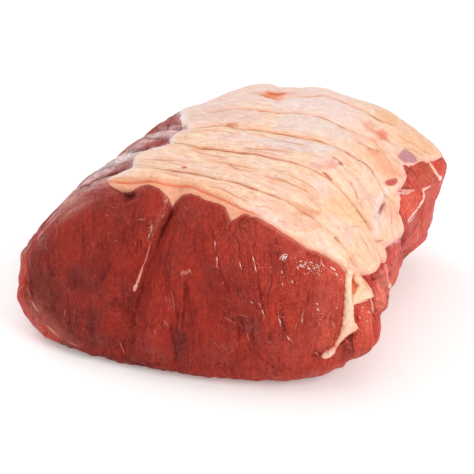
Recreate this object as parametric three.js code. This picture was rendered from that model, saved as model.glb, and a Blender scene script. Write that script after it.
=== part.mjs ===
import * as THREE from 'three';

// A boned and rolled roasting joint of raw beef, lying fat side up on the
// flat it has settled on. Millimetres, +Z up. The grain of the joint runs
// along Y: the near cut end faces -Y, the far cut end faces +Y. The origin is
// the middle of the footprint's bounding box, at the surface it rests on.
//
//   lean     all the muscle, out to the two cut ends and down to the base
//   fat_cap  the layer of fat over the top, which shows its thickness at the
//            cut ends and hangs down as a narrow seam at the near right corner

// ---- driving dimensions -------------------------------------------------

// Cross-sections along Y. Each has a widest point on its left and right side
// and a crest, in X and Z.
const STATION_Y = [-85, -45, 0, 45, 90];
const LEFT_X = [-113.3, -101.6, -87.7, -75.4, -57.2];
const LEFT_Z = [28.1, 31.2, 39.4, 46.4, 46.3];
const RIGHT_X = [94.4, 93.1, 91.6, 99.6, 108.0];
const RIGHT_Z = [39.1, 44.9, 55.4, 64.7, 62.3];
const CREST_X = [-41.4, -24.9, 0.6, 16.6, 32.2];
const CREST_Z = [91.0, 104.9, 111.7, 108.6, 90.8];
const ROUND_UPPER_LEFT = 1.624; // superellipse exponents of the quadrants
const ROUND_UPPER_RIGHT = 1.689;
const ROUND_LOWER = 2.8;
const BELOW_FLOOR = 5; // the section runs on below the base, then is flattened

// Near cut end: its middle, how far it leans back, how much it bulges.
const NEAR_Y = -88.1;
const NEAR_LEAN = 0.198;
const NEAR_BULGE = 23.5;
const NEAR_LEFT_CURL = 3.5;
const NEAR_ROUND = 16;
// Far cut end.
const FAR_Y = 91.4;
const FAR_LEAN = 0.119;
const FAR_BULGE = 12.7;
const FAR_ROUND = 45;
const BASE_ROUND = 6;

const CORE_Z = 42; // every surface is seen whole from this point on the axis
const SHIFT_X = 1.685; // brings the footprint's middle to the origin
const SHIFT_Y = -7.338;

// Rings pressed in by the butcher's string: where each crosses, as Y against
// the angle round the joint (0 top, 90 right, -90 left, 180 underneath).
const RING_ANGLES = [-180, -90, -56, -22, 5, 32, 55, 68, 96, 180];
const RINGS = [
  [-48, -46, -44, -47, -46, -44, -43, -43, -45, -48],
  [-20, -4, -9, -26, -27, -19, -17, -22, -19, -20],
  [12, 32, 30, -7, -8.5, 3, 9, 5, 9, 12],
  [38, 52, 44, 25, 13, 23, 27, 28, 30, 38],
  [60, 66, 62, 46, 36, 49, 50, 51, 54, 60],
];
const RING_DEPTH_TOP = 2.0;
const RING_DEPTH_LEFT = 2.8;
const RING_DEPTH_RIGHT = 4.6;
const RING_DEPTH_UNDER = 0.8;
const RING_WIDTH = 4.2;
const RING_SWELL = 0.9; // how far the meat swells between two rings

// The valley between the two big muscles of the near cut end, in X and Z.
const VALLEY = [[-15, 97], [-18, 85], [-23, 71], [-28, 50], [-35, 24], [-42, 10]];
const VALLEY_DEPTH = 3.2;
const VALLEY_WIDTH = 6;

// Edge of the fat: angle down from the crest against bearing round the joint.
const FAT_BEARING = [-180, -165, -152, -142, -137, -132, -124, -117, -105, -95, -85, -75, -65, -55, -46, -38, -30,
  -18, -12, 0, 4, 8, 18, 24, 32, 45, 60, 75, 90, 105, 120, 137, 148, 156, 168, 180];
const FAT_REACH = [24, 21, 22, 27, 40, 54.5, 53, 48.5, 50, 46.3, 48, 52, 53, 60.5, 68, 75, 79.5,
  80.5, 78, 82, 77, 70, 67.5, 71, 76, 71, 62, 57.5, 55, 54, 55, 51, 41, 33, 27, 24];
// Nicks (deeper reach) and the seam that hangs down the near right corner.
const FAT_TONGUES = [ // bearing, extra reach, half width
  [-106, 3.2, 1.6],
  [-75.6, 3.0, 1.4],
  [-43.6, 27, 3.6],
  [-35, 8, 2.6],
];
const FAT_THICK = 8.5;
const FAT_THICK_LEFT = 5.0;
const FAT_THIN_BAND = 9; // degrees over which the fat feathers to its edge
const FAT_PROUD = 1.2; // the fat stands this far out of the flush surface
const FAT_GAP = 0.4; // parting gap between fat and lean

// Mesh density.
const SECTORS = 96;
const FAT_RINGS = 15; // outer skin of the fat; the parting surface uses a third
const SIDE_RINGS = 12; // lean, from the fat's edge down to where it turns under
const BASE_SPREAD = [0.07, 0.18, 0.45, 0.75];
const TURN_HEIGHT = 1.6; // the ring that marks the turn on to the base
const CALM_DEGREES = 14; // how far the nicks of the edge are felt by the rings inside it

// ---- small tools --------------------------------------------------------

const DEG = Math.PI / 180;

function curve(xs, ys) {
  const n = xs.length;
  const d = [];
  for (let i = 0; i < n - 1; i++) d.push((ys[i + 1] - ys[i]) / (xs[i + 1] - xs[i]));
  const m = ys.map((_, i) => (i === 0 ? d[0] : i === n - 1 ? d[n - 2] : (d[i - 1] + d[i]) / 2));
  return (x) => {
    x = Math.min(Math.max(x, xs[0]), xs[n - 1]);
    let i = 0;
    while (i < n - 2 && x >= xs[i + 1]) i++;
    const h = xs[i + 1] - xs[i];
    const t = (x - xs[i]) / h;
    const t2 = t * t;
    const t3 = t2 * t;
    return (2 * t3 - 3 * t2 + 1) * ys[i] + (t3 - 2 * t2 + t) * h * m[i] + (3 * t2 - 2 * t3) * ys[i + 1] + (t3 - t2) * h * m[i + 1];
  };
}

function smoothMax(a, b, k) {
  const h = Math.min(Math.max(0.5 + 0.5 * (a - b) / k, 0), 1);
  return b + (a - b) * h + k * h * (1 - h);
}

function smoothStep(t) {
  t = Math.min(Math.max(t, 0), 1);
  return t * t * (3 - 2 * t);
}

function wrap(a) {
  return ((((a + 180) % 360) + 360) % 360) - 180;
}

// ---- the whole joint's outer form ---------------------------------------

const leftX = curve(STATION_Y, LEFT_X);
const leftZ = curve(STATION_Y, LEFT_Z);
const rightX = curve(STATION_Y, RIGHT_X);
const rightZ = curve(STATION_Y, RIGHT_Z);
const crestX = curve(STATION_Y, CREST_X);
const crestZ = curve(STATION_Y, CREST_Z);

function nearEnd(x, z) {
  const u = (x + 5) / 90;
  const w = (z - 38) / 60;
  const curl = Math.min(Math.max(-u - 0.35, 0), 2);
  return NEAR_Y + NEAR_LEAN * z + NEAR_BULGE * (u * u + w * w) * 0.5 + NEAR_LEFT_CURL * curl * curl;
}

function farEnd(x, z) {
  const u = (x - 30) / 80;
  const w = (z - 45) / 55;
  return FAR_Y + FAR_LEAN * z - FAR_BULGE * (u * u + w * w) * 0.5;
}

// Below zero inside the joint, above zero outside.
function outside(x, y, z) {
  const cx = crestX(y);
  const isLeft = x < cx;
  const sideZ = isLeft ? leftZ(y) : rightZ(y);
  const halfX = isLeft ? cx - leftX(y) : rightX(y) - cx;
  const upper = z > sideZ;
  const halfZ = upper ? crestZ(y) - sideZ : sideZ + BELOW_FLOOR;
  const n = upper ? (isLeft ? ROUND_UPPER_LEFT : ROUND_UPPER_RIGHT) : ROUND_LOWER;
  const section = (Math.pow(Math.abs(x - cx) / halfX, n) + Math.pow(Math.abs(z - sideZ) / halfZ, n)) ** (1 / n);
  let s = (section - 1) * 48;
  s = smoothMax(s, nearEnd(x, z) - y, NEAR_ROUND);
  s = smoothMax(s, y - farEnd(x, z), FAR_ROUND);
  return smoothMax(s, -z, BASE_ROUND);
}

function reach(dx, dy, dz) {
  let lo = 0;
  let hi = 220;
  for (let i = 0; i < 34; i++) {
    const r = (lo + hi) / 2;
    if (outside(dx * r, dy * r, CORE_Z + dz * r) < 0) lo = r;
    else hi = r;
  }
  return (lo + hi) / 2;
}

// ---- string rings and the valley ----------------------------------------

const ringCurves = RINGS.map((ys) => curve(RING_ANGLES, ys));
const ringDepth = curve([-180, -120, -80, -30, 0, 40, 75, 110, 150, 180],
  [RING_DEPTH_UNDER, RING_DEPTH_UNDER, RING_DEPTH_LEFT, RING_DEPTH_TOP, RING_DEPTH_TOP, RING_DEPTH_TOP,
    RING_DEPTH_RIGHT, RING_DEPTH_RIGHT, RING_DEPTH_UNDER, RING_DEPTH_UNDER]);

function segmentDistance(px, pz, a, b) {
  const ux = b[0] - a[0];
  const uz = b[1] - a[1];
  const t = Math.min(Math.max(((px - a[0]) * ux + (pz - a[1]) * uz) / (ux * ux + uz * uz), 0), 1);
  return Math.hypot(px - a[0] - t * ux, pz - a[1] - t * uz);
}

// How far the surface is pushed out (or in, below zero) at a point on it.
function relief(x, y, z) {
  const angle = Math.atan2(x, z - CORE_Z) / DEG;
  const onSide = smoothStep((z - 1) / 14);
  let press = 0;
  for (const ring of ringCurves) {
    const d = (y - ring(angle)) / RING_WIDTH;
    press = Math.max(press, Math.exp(-d * d));
  }
  let push = -ringDepth(angle) * press + RING_SWELL * (1 - press);
  const nearFade = smoothStep((y - nearEnd(x, z)) / 14);
  const farFade = smoothStep((farEnd(x, z) - y) / 20);
  push *= Math.min(nearFade, farFade);
  if (y < -35) {
    let d = 1e9;
    for (let i = 0; i < VALLEY.length - 1; i++) d = Math.min(d, segmentDistance(x, z, VALLEY[i], VALLEY[i + 1]));
    push -= VALLEY_DEPTH * Math.exp(-((d / VALLEY_WIDTH) ** 2)) * smoothStep((-y - 42) / 14);
  }
  return push * onSide;
}

// ---- the fat's edge and thickness ---------------------------------------

const fatEdgeBase = curve(FAT_BEARING, FAT_REACH);
function fatEdge(bearing) {
  let e = fatEdgeBase(bearing);
  for (const [at, extra, half] of FAT_TONGUES) {
    const d = wrap(bearing - at) / half;
    e += extra * Math.exp(-(d ** 4));
  }
  return e;
}
const fatThick = curve([-180, -140, -120, -60, 60, 120, 150, 180],
  [FAT_THICK_LEFT, FAT_THICK_LEFT, FAT_THICK, FAT_THICK, FAT_THICK, FAT_THICK, FAT_THICK_LEFT, FAT_THICK_LEFT]);

// Bearings of the sectors: packed closer round the corner seam.
function sectorBearings() {
  const steps = 3600;
  const cumulative = [0];
  for (let i = 0; i < steps; i++) {
    const a = -180 + (i + 0.5) * 360 / steps;
    const corner = Math.exp(-((wrap(a + 41) / 11) ** 2));
    const right = Math.exp(-((wrap(a + 5) / 40) ** 2));
    cumulative.push(cumulative[i] + 1 + 2.2 * corner + 0.5 * right);
  }
  const out = [];
  let j = 0;
  for (let k = 0; k < SECTORS; k++) {
    const want = cumulative[steps] * k / SECTORS;
    while (cumulative[j + 1] < want) j++;
    const f = (want - cumulative[j]) / (cumulative[j + 1] - cumulative[j]);
    out.push(-180 + (j + f) * 360 / steps);
  }
  return out;
}

// ---- meshes -------------------------------------------------------------

// A point of the grid: tilt down from the crest and bearing, in degrees.
// `push` says how far beyond the flush form the point lies.
function place(tilt, bearing, push) {
  const dx = Math.sin(tilt * DEG) * Math.cos(bearing * DEG);
  const dy = Math.sin(tilt * DEG) * Math.sin(bearing * DEG);
  const dz = Math.cos(tilt * DEG);
  const r = reach(dx, dy, dz);
  const out = r + push(dx * r, dy * r, CORE_Z + dz * r);
  let z = CORE_Z + dz * out;
  if (z < 0.05) z = 0;
  return [dx * out + SHIFT_X, dy * out + SHIFT_Y, z];
}

const bearings = sectorBearings();
const edges = bearings.map(fatEdge);
const thick = bearings.map(fatThick);

// The edge without its nicks and steps, which the inner rings follow.
const calmEdges = bearings.map((b) => {
  let sum = 0;
  let weight = 0;
  for (let a = -180; a < 180; a += 2) {
    const w = Math.exp(-((wrap(a - b) / CALM_DEGREES) ** 2));
    sum += w * fatEdgeBase(a);
    weight += w;
  }
  return sum / weight;
});

// Tilt at which each sector's side turns under on to the flat base.
const baseTurns = bearings.map((b) => {
  let lo = 90;
  let hi = 175;
  for (let i = 0; i < 24; i++) {
    const tilt = (lo + hi) / 2;
    const dx = Math.sin(tilt * DEG) * Math.cos(b * DEG);
    const dy = Math.sin(tilt * DEG) * Math.sin(b * DEG);
    const dz = Math.cos(tilt * DEG);
    if (CORE_Z + dz * reach(dx, dy, dz) > TURN_HEIGHT) lo = tilt;
    else hi = tilt;
  }
  return (lo + hi) / 2;
});

function fatTilt(k, t) {
  const over = edges[k] - calmEdges[k];
  return t * calmEdges[k] + over * t ** (over > 0 ? 7 : 2.5);
}

// From the fat's edge (0) down to the turn (1).
function sideTilt(k, t) {
  return baseTurns[k] - (baseTurns[k] - calmEdges[k]) * (1 - t) + (edges[k] - calmEdges[k]) * (1 - t) ** 2;
}

// Depth of the parting surface under the flush form.
function parting(k, tilt) {
  return thick[k] * smoothStep((edges[k] - tilt) / FAT_THIN_BAND);
}

function meshFrom(points, faces, name, colour, roughness) {
  const g = new THREE.BufferGeometry();
  g.setAttribute('position', new THREE.BufferAttribute(new Float32Array(points.flat()), 3));
  g.setIndex(faces.flat());
  g.computeVertexNormals();
  const mesh = new THREE.Mesh(g, new THREE.MeshStandardMaterial({ color: colour, roughness, metalness: 0 }));
  mesh.name = name;
  return mesh;
}

// Rings of points (outermost index = tilt) with one point at each pole given.
function skinFaces(top, rings, flip) {
  const faces = [];
  const add = (a, b, c) => faces.push(flip ? [a, c, b] : [a, b, c]);
  for (let k = 0; k < SECTORS; k++) add(top, rings[0][k], rings[0][(k + 1) % SECTORS]);
  for (let i = 0; i < rings.length - 1; i++) {
    for (let k = 0; k < SECTORS; k++) {
      const k1 = (k + 1) % SECTORS;
      const [a, b, c, d] = [rings[i][k], rings[i + 1][k], rings[i + 1][k1], rings[i][k1]];
      if ((i + k) % 2) { add(a, b, c); add(a, c, d); } else { add(a, b, d); add(b, c, d); }
    }
  }
  return faces;
}

// Fractions of the way from the crest to the fat's edge, close at the edge.
function fatFractions(n) {
  const out = [];
  for (let i = 1; i <= n; i++) {
    const t = i / n;
    out.push(t + 0.22 * t * (1 - t));
  }
  return out;
}
const outerFractions = fatFractions(FAT_RINGS);
const innerFractions = outerFractions.filter((_, i) => (i % 3) === 2);
// One more parting ring just inside the edge keeps the feather short.
innerFractions.splice(innerFractions.length - 1, 0, outerFractions[FAT_RINGS - 2]);

function makeFat() {
  const points = [];
  const put = (p) => points.push(p) - 1;
  const top = put(place(0, 0, (x, y, z) => FAT_PROUD + relief(x, y, z)));
  const outer = outerFractions.map((t) => bearings.map((b, k) => put(place(fatTilt(k, t), b, (x, y, z) => FAT_PROUD + relief(x, y, z)))));
  const under = put(place(0, 0, () => -thick[0] + FAT_GAP));
  const inner = innerFractions.map((t) => bearings.map((b, k) => put(place(fatTilt(k, t), b, (x, y, z) => innerPush(k, t, x, y, z) + FAT_GAP))));
  const faces = skinFaces(top, outer, false).concat(skinFaces(under, inner, true));
  const rimOut = outer[outer.length - 1];
  const rimIn = inner[inner.length - 1];
  for (let k = 0; k < SECTORS; k++) {
    const k1 = (k + 1) % SECTORS;
    faces.push([rimOut[k], rimIn[k], rimIn[k1]], [rimOut[k], rimIn[k1], rimOut[k1]]);
  }
  return meshFrom(points, faces, 'fat_cap', 0xeccdb4, 0.5);
}

// The parting surface keeps the string's relief only close to the edge.
function innerPush(k, t, x, y, z) {
  const tilt = fatTilt(k, t);
  const edgeShare = 1 - smoothStep((edges[k] - tilt) / FAT_THIN_BAND);
  return relief(x, y, z) * edgeShare - parting(k, tilt);
}

function makeLean() {
  const points = [];
  const put = (p) => points.push(p) - 1;
  const top = put(place(0, 0, () => -thick[0]));
  const rings = innerFractions.map((t) => bearings.map((b, k) => put(place(fatTilt(k, t), b, (x, y, z) => innerPush(k, t, x, y, z)))));
  for (let i = 1; i <= SIDE_RINGS; i++) {
    const t = i / SIDE_RINGS;
    rings.push(bearings.map((b, k) => put(place(sideTilt(k, t + 0.18 * t * (1 - t)), b, relief))));
  }
  BASE_SPREAD.forEach((t, i) => {
    rings.push(bearings.map((b, k) => {
      const p = place(baseTurns[k] + (180 - baseTurns[k]) * t, b, relief);
      if (i > 0) p[2] = 0; // the settled face is flat from the second ring in
      return put(p);
    }));
  });
  const bottom = put([SHIFT_X, SHIFT_Y, 0]);
  const faces = skinFaces(top, rings, false);
  const last = rings[rings.length - 1];
  for (let k = 0; k < SECTORS; k++) faces.push([bottom, last[(k + 1) % SECTORS], last[k]]);
  return meshFrom(points, faces, 'lean', 0x9c2f26, 0.35);
}

const joint = new THREE.Group();
joint.add(makeLean());
joint.add(makeFat());

export default joint;
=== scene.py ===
import math

import bpy
import numpy as np
from mathutils import Matrix, Vector
from mathutils.bvhtree import BVHTree
from mathutils.kdtree import KDTree


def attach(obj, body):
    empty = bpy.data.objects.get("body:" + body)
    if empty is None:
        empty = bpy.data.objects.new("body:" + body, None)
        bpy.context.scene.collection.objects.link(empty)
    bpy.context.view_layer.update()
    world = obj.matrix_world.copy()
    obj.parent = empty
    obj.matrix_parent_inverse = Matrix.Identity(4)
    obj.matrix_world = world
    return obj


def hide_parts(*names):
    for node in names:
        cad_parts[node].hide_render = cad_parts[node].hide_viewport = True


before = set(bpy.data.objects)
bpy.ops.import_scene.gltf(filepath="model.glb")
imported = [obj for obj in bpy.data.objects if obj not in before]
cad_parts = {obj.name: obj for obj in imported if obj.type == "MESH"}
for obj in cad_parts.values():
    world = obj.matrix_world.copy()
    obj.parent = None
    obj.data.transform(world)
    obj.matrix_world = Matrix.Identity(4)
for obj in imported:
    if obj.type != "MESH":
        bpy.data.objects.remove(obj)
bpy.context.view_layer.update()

# =====================================================================
# The joint's flush outer form, in millimetres, as in the CAD model.
# =====================================================================
STATION_Y = [-85, -45, 0, 45, 90]
LEFT_X = [-113.3, -101.6, -87.7, -75.4, -57.2]
LEFT_Z = [28.1, 31.2, 39.4, 46.4, 46.3]
RIGHT_X = [94.4, 93.1, 91.6, 99.6, 108.0]
RIGHT_Z = [39.1, 44.9, 55.4, 64.7, 62.3]
CREST_X = [-41.4, -24.9, 0.6, 16.6, 32.2]
CREST_Z = [91.0, 104.9, 111.7, 108.6, 90.8]
CORE = np.array([0.0, 0.0, 42.0])
SHIFT = np.array([1.685, -7.338, 0.0])


def curve(xs, ys):
    xs = np.array(xs, float)
    ys = np.array(ys, float)
    d = np.diff(ys) / np.diff(xs)
    m = np.zeros_like(ys)
    m[1:-1] = (d[:-1] + d[1:]) / 2
    m[0], m[-1] = d[0], d[-1]

    def f(x):
        x = np.clip(x, xs[0], xs[-1])
        i = np.clip(np.searchsorted(xs, x, side="right") - 1, 0, len(xs) - 2)
        h = xs[i + 1] - xs[i]
        t = (x - xs[i]) / h
        t2 = t * t
        t3 = t2 * t
        return (2 * t3 - 3 * t2 + 1) * ys[i] + (t3 - 2 * t2 + t) * h * m[i] + (3 * t2 - 2 * t3) * ys[i + 1] + (t3 - t2) * h * m[i + 1]

    return f


def smooth_max(a, b, k):
    h = np.clip(0.5 + 0.5 * (a - b) / k, 0, 1)
    return b + (a - b) * h + k * h * (1 - h)


def sstep(t):
    t = np.clip(t, 0, 1)
    return t * t * (3 - 2 * t)


left_x, left_z = curve(STATION_Y, LEFT_X), curve(STATION_Y, LEFT_Z)
right_x, right_z = curve(STATION_Y, RIGHT_X), curve(STATION_Y, RIGHT_Z)
crest_x, crest_z = curve(STATION_Y, CREST_X), curve(STATION_Y, CREST_Z)


def near_end(x, z):
    u = (x + 5) / 90
    w = (z - 38) / 60
    return -88.1 + 0.198 * z + 23.5 * (u * u + w * w) * 0.5 + 3.5 * np.clip(-u - 0.35, 0, 2) ** 2


def far_end(x, z):
    u = (x - 30) / 80
    w = (z - 45) / 55
    return 91.4 + 0.119 * z - 12.7 * (u * u + w * w) * 0.5


def outside(P):
    """Below zero inside the joint, above zero outside."""
    x, y, z = P[:, 0], P[:, 1], P[:, 2]
    cx = crest_x(y)
    left = x < cx
    side = np.where(left, left_z(y), right_z(y))
    half_x = np.where(left, cx - left_x(y), right_x(y) - cx)
    up = z > side
    half_z = np.where(up, crest_z(y) - side, side + 5)
    n = np.where(up, np.where(left, 1.624, 1.689), 2.8)
    sec = ((np.abs(x - cx) / half_x) ** n + (np.abs(z - side) / half_z) ** n) ** (1 / n)
    s = (sec - 1) * 48
    s = smooth_max(s, near_end(x, z) - y, 16)
    s = smooth_max(s, y - far_end(x, z), 45)
    return smooth_max(s, -z, 6)


def reach(D, it=24):
    lo = np.full(len(D), 20.0)
    hi = np.full(len(D), 160.0)
    for _ in range(it):
        m = (lo + hi) / 2
        inside = outside(CORE + D * m[:, None]) < 0
        lo = np.where(inside, m, lo)
        hi = np.where(inside, hi, m)
    return (lo + hi) / 2


# =====================================================================
# Noise
# =====================================================================
def noise(P, seed=0):
    P = np.asarray(P, float)
    i = np.floor(P).astype(np.int64)
    f = P - i
    u = f * f * f * (f * (f * 6 - 15) + 10)
    fx, fy, fz = f[:, 0], f[:, 1], f[:, 2]

    def corner(dx, dy, dz):
        n = ((i[:, 0] + dx) * 73856093) ^ ((i[:, 1] + dy) * 19349663) ^ ((i[:, 2] + dz) * 83492791) ^ (seed * 40503 + 977)
        n = ((n ^ (n >> 13)) * 1274126177) & 0xFFFFFFFF
        n = ((n ^ (n >> 15)) * 2246822519) & 0xFFFFFFFF
        n = n ^ (n >> 16)
        return (
            ((n & 1023) / 511.5 - 1) * (fx - dx)
            + (((n >> 10) & 1023) / 511.5 - 1) * (fy - dy)
            + (((n >> 20) & 1023) / 511.5 - 1) * (fz - dz)
        )

    def mix(a, b, t):
        return a + (b - a) * t

    x00 = mix(corner(0, 0, 0), corner(1, 0, 0), u[:, 0])
    x10 = mix(corner(0, 1, 0), corner(1, 1, 0), u[:, 0])
    x01 = mix(corner(0, 0, 1), corner(1, 0, 1), u[:, 0])
    x11 = mix(corner(0, 1, 1), corner(1, 1, 1), u[:, 0])
    return mix(mix(x00, x10, u[:, 1]), mix(x01, x11, u[:, 1]), u[:, 2]) * 1.6


def fbm(P, seed=0, octaves=3, gain=0.5):
    P = np.asarray(P, float)
    out = 0
    a = 1.0
    for k in range(octaves):
        out = out + a * noise(P * (2.03 ** k) + 13.7 * k, seed + 31 * k)
        a *= gain
    return out


# =====================================================================
# Camera: it is where the features below were lined up from
# =====================================================================
IMAGE = 474.0
FOCAL = 1850.0
AZ, EL, DIST = math.radians(16.22), math.radians(30.77), 1000.0
TARGET = np.array([1.19, 0.0, 39.25])
BACK = np.array([math.sin(AZ) * math.cos(EL), -math.cos(AZ) * math.cos(EL), math.sin(EL)])
RIGHT_V = np.array([math.cos(AZ), math.sin(AZ), 0.0])
UP_V = np.cross(BACK, RIGHT_V)
EYE = TARGET + BACK * DIST


def cast(px, lift=0.0):
    """Points of the image on to the flush form, raised by lift millimetres."""
    px = np.asarray(px, float)
    d = -BACK + RIGHT_V * ((px[:, :1] - IMAGE / 2) / FOCAL) + UP_V * ((IMAGE / 2 - px[:, 1:2]) / FOCAL)
    d /= np.linalg.norm(d, axis=1, keepdims=True)
    ts = np.arange(820, 1180, 3.0)
    n, m = len(px), len(ts)
    Q = (EYE + d[:, None, :] * ts[None, :, None]).reshape(-1, 3)
    s = outside(Q).reshape(n, m) - lift
    first = np.argmax(s < 0, axis=1)
    miss = ~(s < 0).any(axis=1)
    nearest = np.argmin(s, axis=1)
    lo = ts[np.maximum(first - 1, 0)]
    hi = ts[first]
    for _ in range(20):
        c = (lo + hi) / 2
        inside = outside(EYE + d * c[:, None]) < lift
        hi = np.where(inside, c, hi)
        lo = np.where(inside, lo, c)
    t = np.where(miss, ts[nearest], hi)
    return EYE + d * t[:, None]


def dense(px, step=1.5):
    """Resample an image polyline evenly."""
    px = np.asarray(px, float)
    seg = np.linalg.norm(np.diff(px, axis=0), axis=1)
    s = np.concatenate([[0], np.cumsum(seg)])
    n = max(2, int(s[-1] / step) + 1)
    q = np.linspace(0, s[-1], n)
    return np.stack([np.interp(q, s, px[:, 0]), np.interp(q, s, px[:, 1])], -1)


def smooth_line(px, step=1.5, passes=2):
    q = dense(px, step)
    for _ in range(passes):
        q[1:-1] = 0.25 * q[:-2] + 0.5 * q[1:-1] + 0.25 * q[2:]
    return q


def to_map(P):
    """Tilt from the crest and bearing round it, as a flat map of the surface."""
    d = P - CORE
    r = np.linalg.norm(d, axis=1)
    tilt = np.degrees(np.arccos(np.clip(d[:, 2] / r, -1, 1)))
    bearing = np.arctan2(d[:, 1], d[:, 0])
    return np.stack([tilt * np.cos(bearing), tilt * np.sin(bearing)], -1)


def from_map(tilt, bearing):
    t = np.radians(np.asarray(tilt, float))
    b = np.radians(np.asarray(bearing, float))
    D = np.stack([np.sin(t) * np.cos(b), np.sin(t) * np.sin(b), np.cos(t)], -1)
    return CORE + D * reach(D)[:, None]


def in_polygon(M, poly):
    inside = np.zeros(len(M), bool)
    x, y = M[:, 0], M[:, 1]
    n = len(poly)
    for a in range(n):
        x0, y0 = poly[a]
        x1, y1 = poly[(a + 1) % n]
        if y0 == y1:
            continue
        cross = (y0 > y) != (y1 > y)
        if not cross.any():
            continue
        inside ^= cross & (x < (x1 - x0) * (y - y0) / (y1 - y0) + x0)
    return inside


class Line:
    """A polyline on the surface: distance to it, its side and how far along, for points near it."""

    def __init__(self, P):
        self.P = np.asarray(P, float)
        seg = np.linalg.norm(np.diff(self.P, axis=0), axis=1)
        self.s = np.concatenate([[0], np.cumsum(seg)])
        self.length = self.s[-1]

    def near(self, V, margin):
        """Indices, distance, share of the length, and side (+1 to the left of the line seen from outside)."""
        lo = self.P.min(0) - margin
        hi = self.P.max(0) + margin
        idx = np.where(((V > lo) & (V < hi)).all(axis=1))[0]
        if len(idx) == 0:
            return idx, np.zeros(0), np.zeros(0), np.zeros(0)
        Q = V[idx]
        best = np.full(len(idx), 1e9)
        along = np.zeros(len(idx))
        side = np.ones(len(idx))
        for k in range(len(self.P) - 1):
            a, b = self.P[k], self.P[k + 1]
            u = b - a
            L = u @ u
            if L == 0:
                continue
            v = Q - a
            t = np.clip((v @ u) / L, 0, 1)
            w = v - t[:, None] * u
            d = np.sqrt((w * w).sum(1))
            better = d < best
            if not better.any():
                continue
            up = a - CORE
            left = np.cross(up, u)
            best = np.where(better, d, best)
            along = np.where(better, self.s[k] + t * math.sqrt(L), along)
            side = np.where(better, np.sign(w @ left + 1e-12), side)
        keep = best < margin
        return idx[keep], best[keep], along[keep] / max(self.length, 1e-6), side[keep]


def surface_line(px, lift=0.0, step=1.5, passes=2):
    P = cast(smooth_line(px, step, passes), lift)
    if lift:
        D = P - CORE
        D /= np.linalg.norm(D, axis=1, keepdims=True)
        P = CORE + D * reach(D)[:, None]
    return Line(P)


def press_creases(P0, table, h, cr_d, cr_m, lift=0.0, seed=90, depth_k=1.0, dark_k=1.0, width_k=1.0):
    """Crease lines: pushes h in, and records the signed distance and strength of the painted crease shade for the
    material.
    """
    for px, depth, width, dk in table:
        depth, dk, width = depth * depth_k, dk * dark_k, width * width_k
        L = surface_line(px, lift, 1.5)
        i, d, t, side = L.near(P0, max(width * 3.2, 3.2))
        if len(i) == 0:
            continue
        taper = np.clip(np.sin(np.pi * np.clip(t, 0.02, 0.98)) * 2.4, 0, 1)
        wob = 1 + 0.4 * noise(P0[i] / 5.0, seed)
        h[i] -= depth * (0.75 * np.exp(-((d / width) ** 2)) + 0.25 * np.exp(-((d / (2.2 * width)) ** 2))) * taper * wob
        m = dk * taper * sstep((2.9 - d) / 1.2) * np.clip(0.8 + 0.6 * noise(P0[i] / 7.0, seed + 1), 0.2, 1.2)
        better = m * np.exp(-((d / 1.2) ** 2)) > cr_m[i] * np.exp(-((cr_d[i] / 1.2) ** 2))
        cr_d[i] = np.where(better, side * d, cr_d[i])
        cr_m[i] = np.where(better, m, cr_m[i])


# =====================================================================
# Where things run over the joint (image coordinates, 474 across)
# =====================================================================
FRONT = [(107, 181), (110, 185), (118, 189), (127, 191), (133, 190), (140, 186), (147, 184.5), (153, 185.5), (160, 189),
         (165, 194), (168, 200), (170, 206), (173, 201), (180, 195), (190, 193), (199, 195), (205, 199), (215, 202),
         (222, 204), (226, 208), (230, 216), (231.5, 220), (236, 216), (241, 213.5), (246, 213), (252, 215), (262, 220),
         (270, 225), (280, 231), (290, 237), (300, 243), (310, 249), (320, 252), (330, 258), (340, 264), (346, 270)]
RIGHT = [(352, 274), (357, 273), (361, 275), (364, 277), (368, 275), (372, 273), (375, 271), (376, 268), (379, 264), (382, 262.5),
         (385, 263.5), (387, 262), (387.5, 257), (386.5, 252), (384.5, 248), (387, 245), (391, 243), (396, 240), (401, 237.5),
         (404, 235), (406, 231), (406.5, 226), (405.5, 222), (403.5, 218), (402, 212), (400, 206), (398.5, 202), (399, 198),
         (397, 194), (395.5, 190.5), (398, 188), (402, 185), (405, 180.5), (407, 176), (408, 171), (406, 167), (403.5, 164),
         (407, 163.5), (411, 163.5), (416, 163), (419, 161), (423, 160.5), (428, 161.5), (433, 160), (437, 159), (441, 157.5)]
LEFT = [(107, 181), (112, 177), (120, 172), (130, 167), (133, 162), (137, 157), (145, 151), (155, 148), (162, 147),
        (170, 143), (172, 138), (178, 133), (186, 129), (188, 125), (182, 124), (182, 117), (180, 112)]
HIDDEN_TILT = [72, 66, 62, 58.5, 56, 57.5, 54.5, 56, 53.5, 55.5, 53]
HIDDEN_BEARING = [42, 51, 60, 70, 80, 86, 93, 101, 109, 117, 127]

RING_PX = [
    [(160, 169), (175, 170), (190, 172), (205, 175), (215, 178), (228, 180), (240, 183), (250, 187), (262, 191), (275, 195),
     (288, 201), (300, 209), (310, 215), (320, 220)],
    [(172, 141), (185, 143), (200, 147), (215, 148), (230, 150), (240, 152), (255, 153), (270, 156.5), (290, 161), (305, 166),
     (318, 171), (330, 178), (340, 187), (350, 197), (357, 206), (365, 216), (372, 224)],
    [(188, 126), (200, 124), (215, 122.5), (225, 124), (235, 127), (250, 128.5), (270, 130), (285, 132.5), (300, 136), (318, 140),
     (330, 144), (345, 150), (355, 156), (365, 163), (372, 170), (378, 180), (384, 188), (389, 194)],
    [(205, 106), (222, 106), (235, 105), (250, 107), (262, 109), (275, 110), (290, 110.5), (305, 113), (320, 117), (335, 123),
     (350, 129), (362, 134)],
    [(240, 93.5), (250, 91), (262, 92), (272, 94), (280, 94), (290, 94), (310, 95), (325, 95.5), (340, 101), (355, 107),
     (370, 113), (380, 119), (390, 123)],
]
RING_OUTER_ANGLES = [[-180, -90, -56, -40], [80, 96, 130, 180]]
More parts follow.
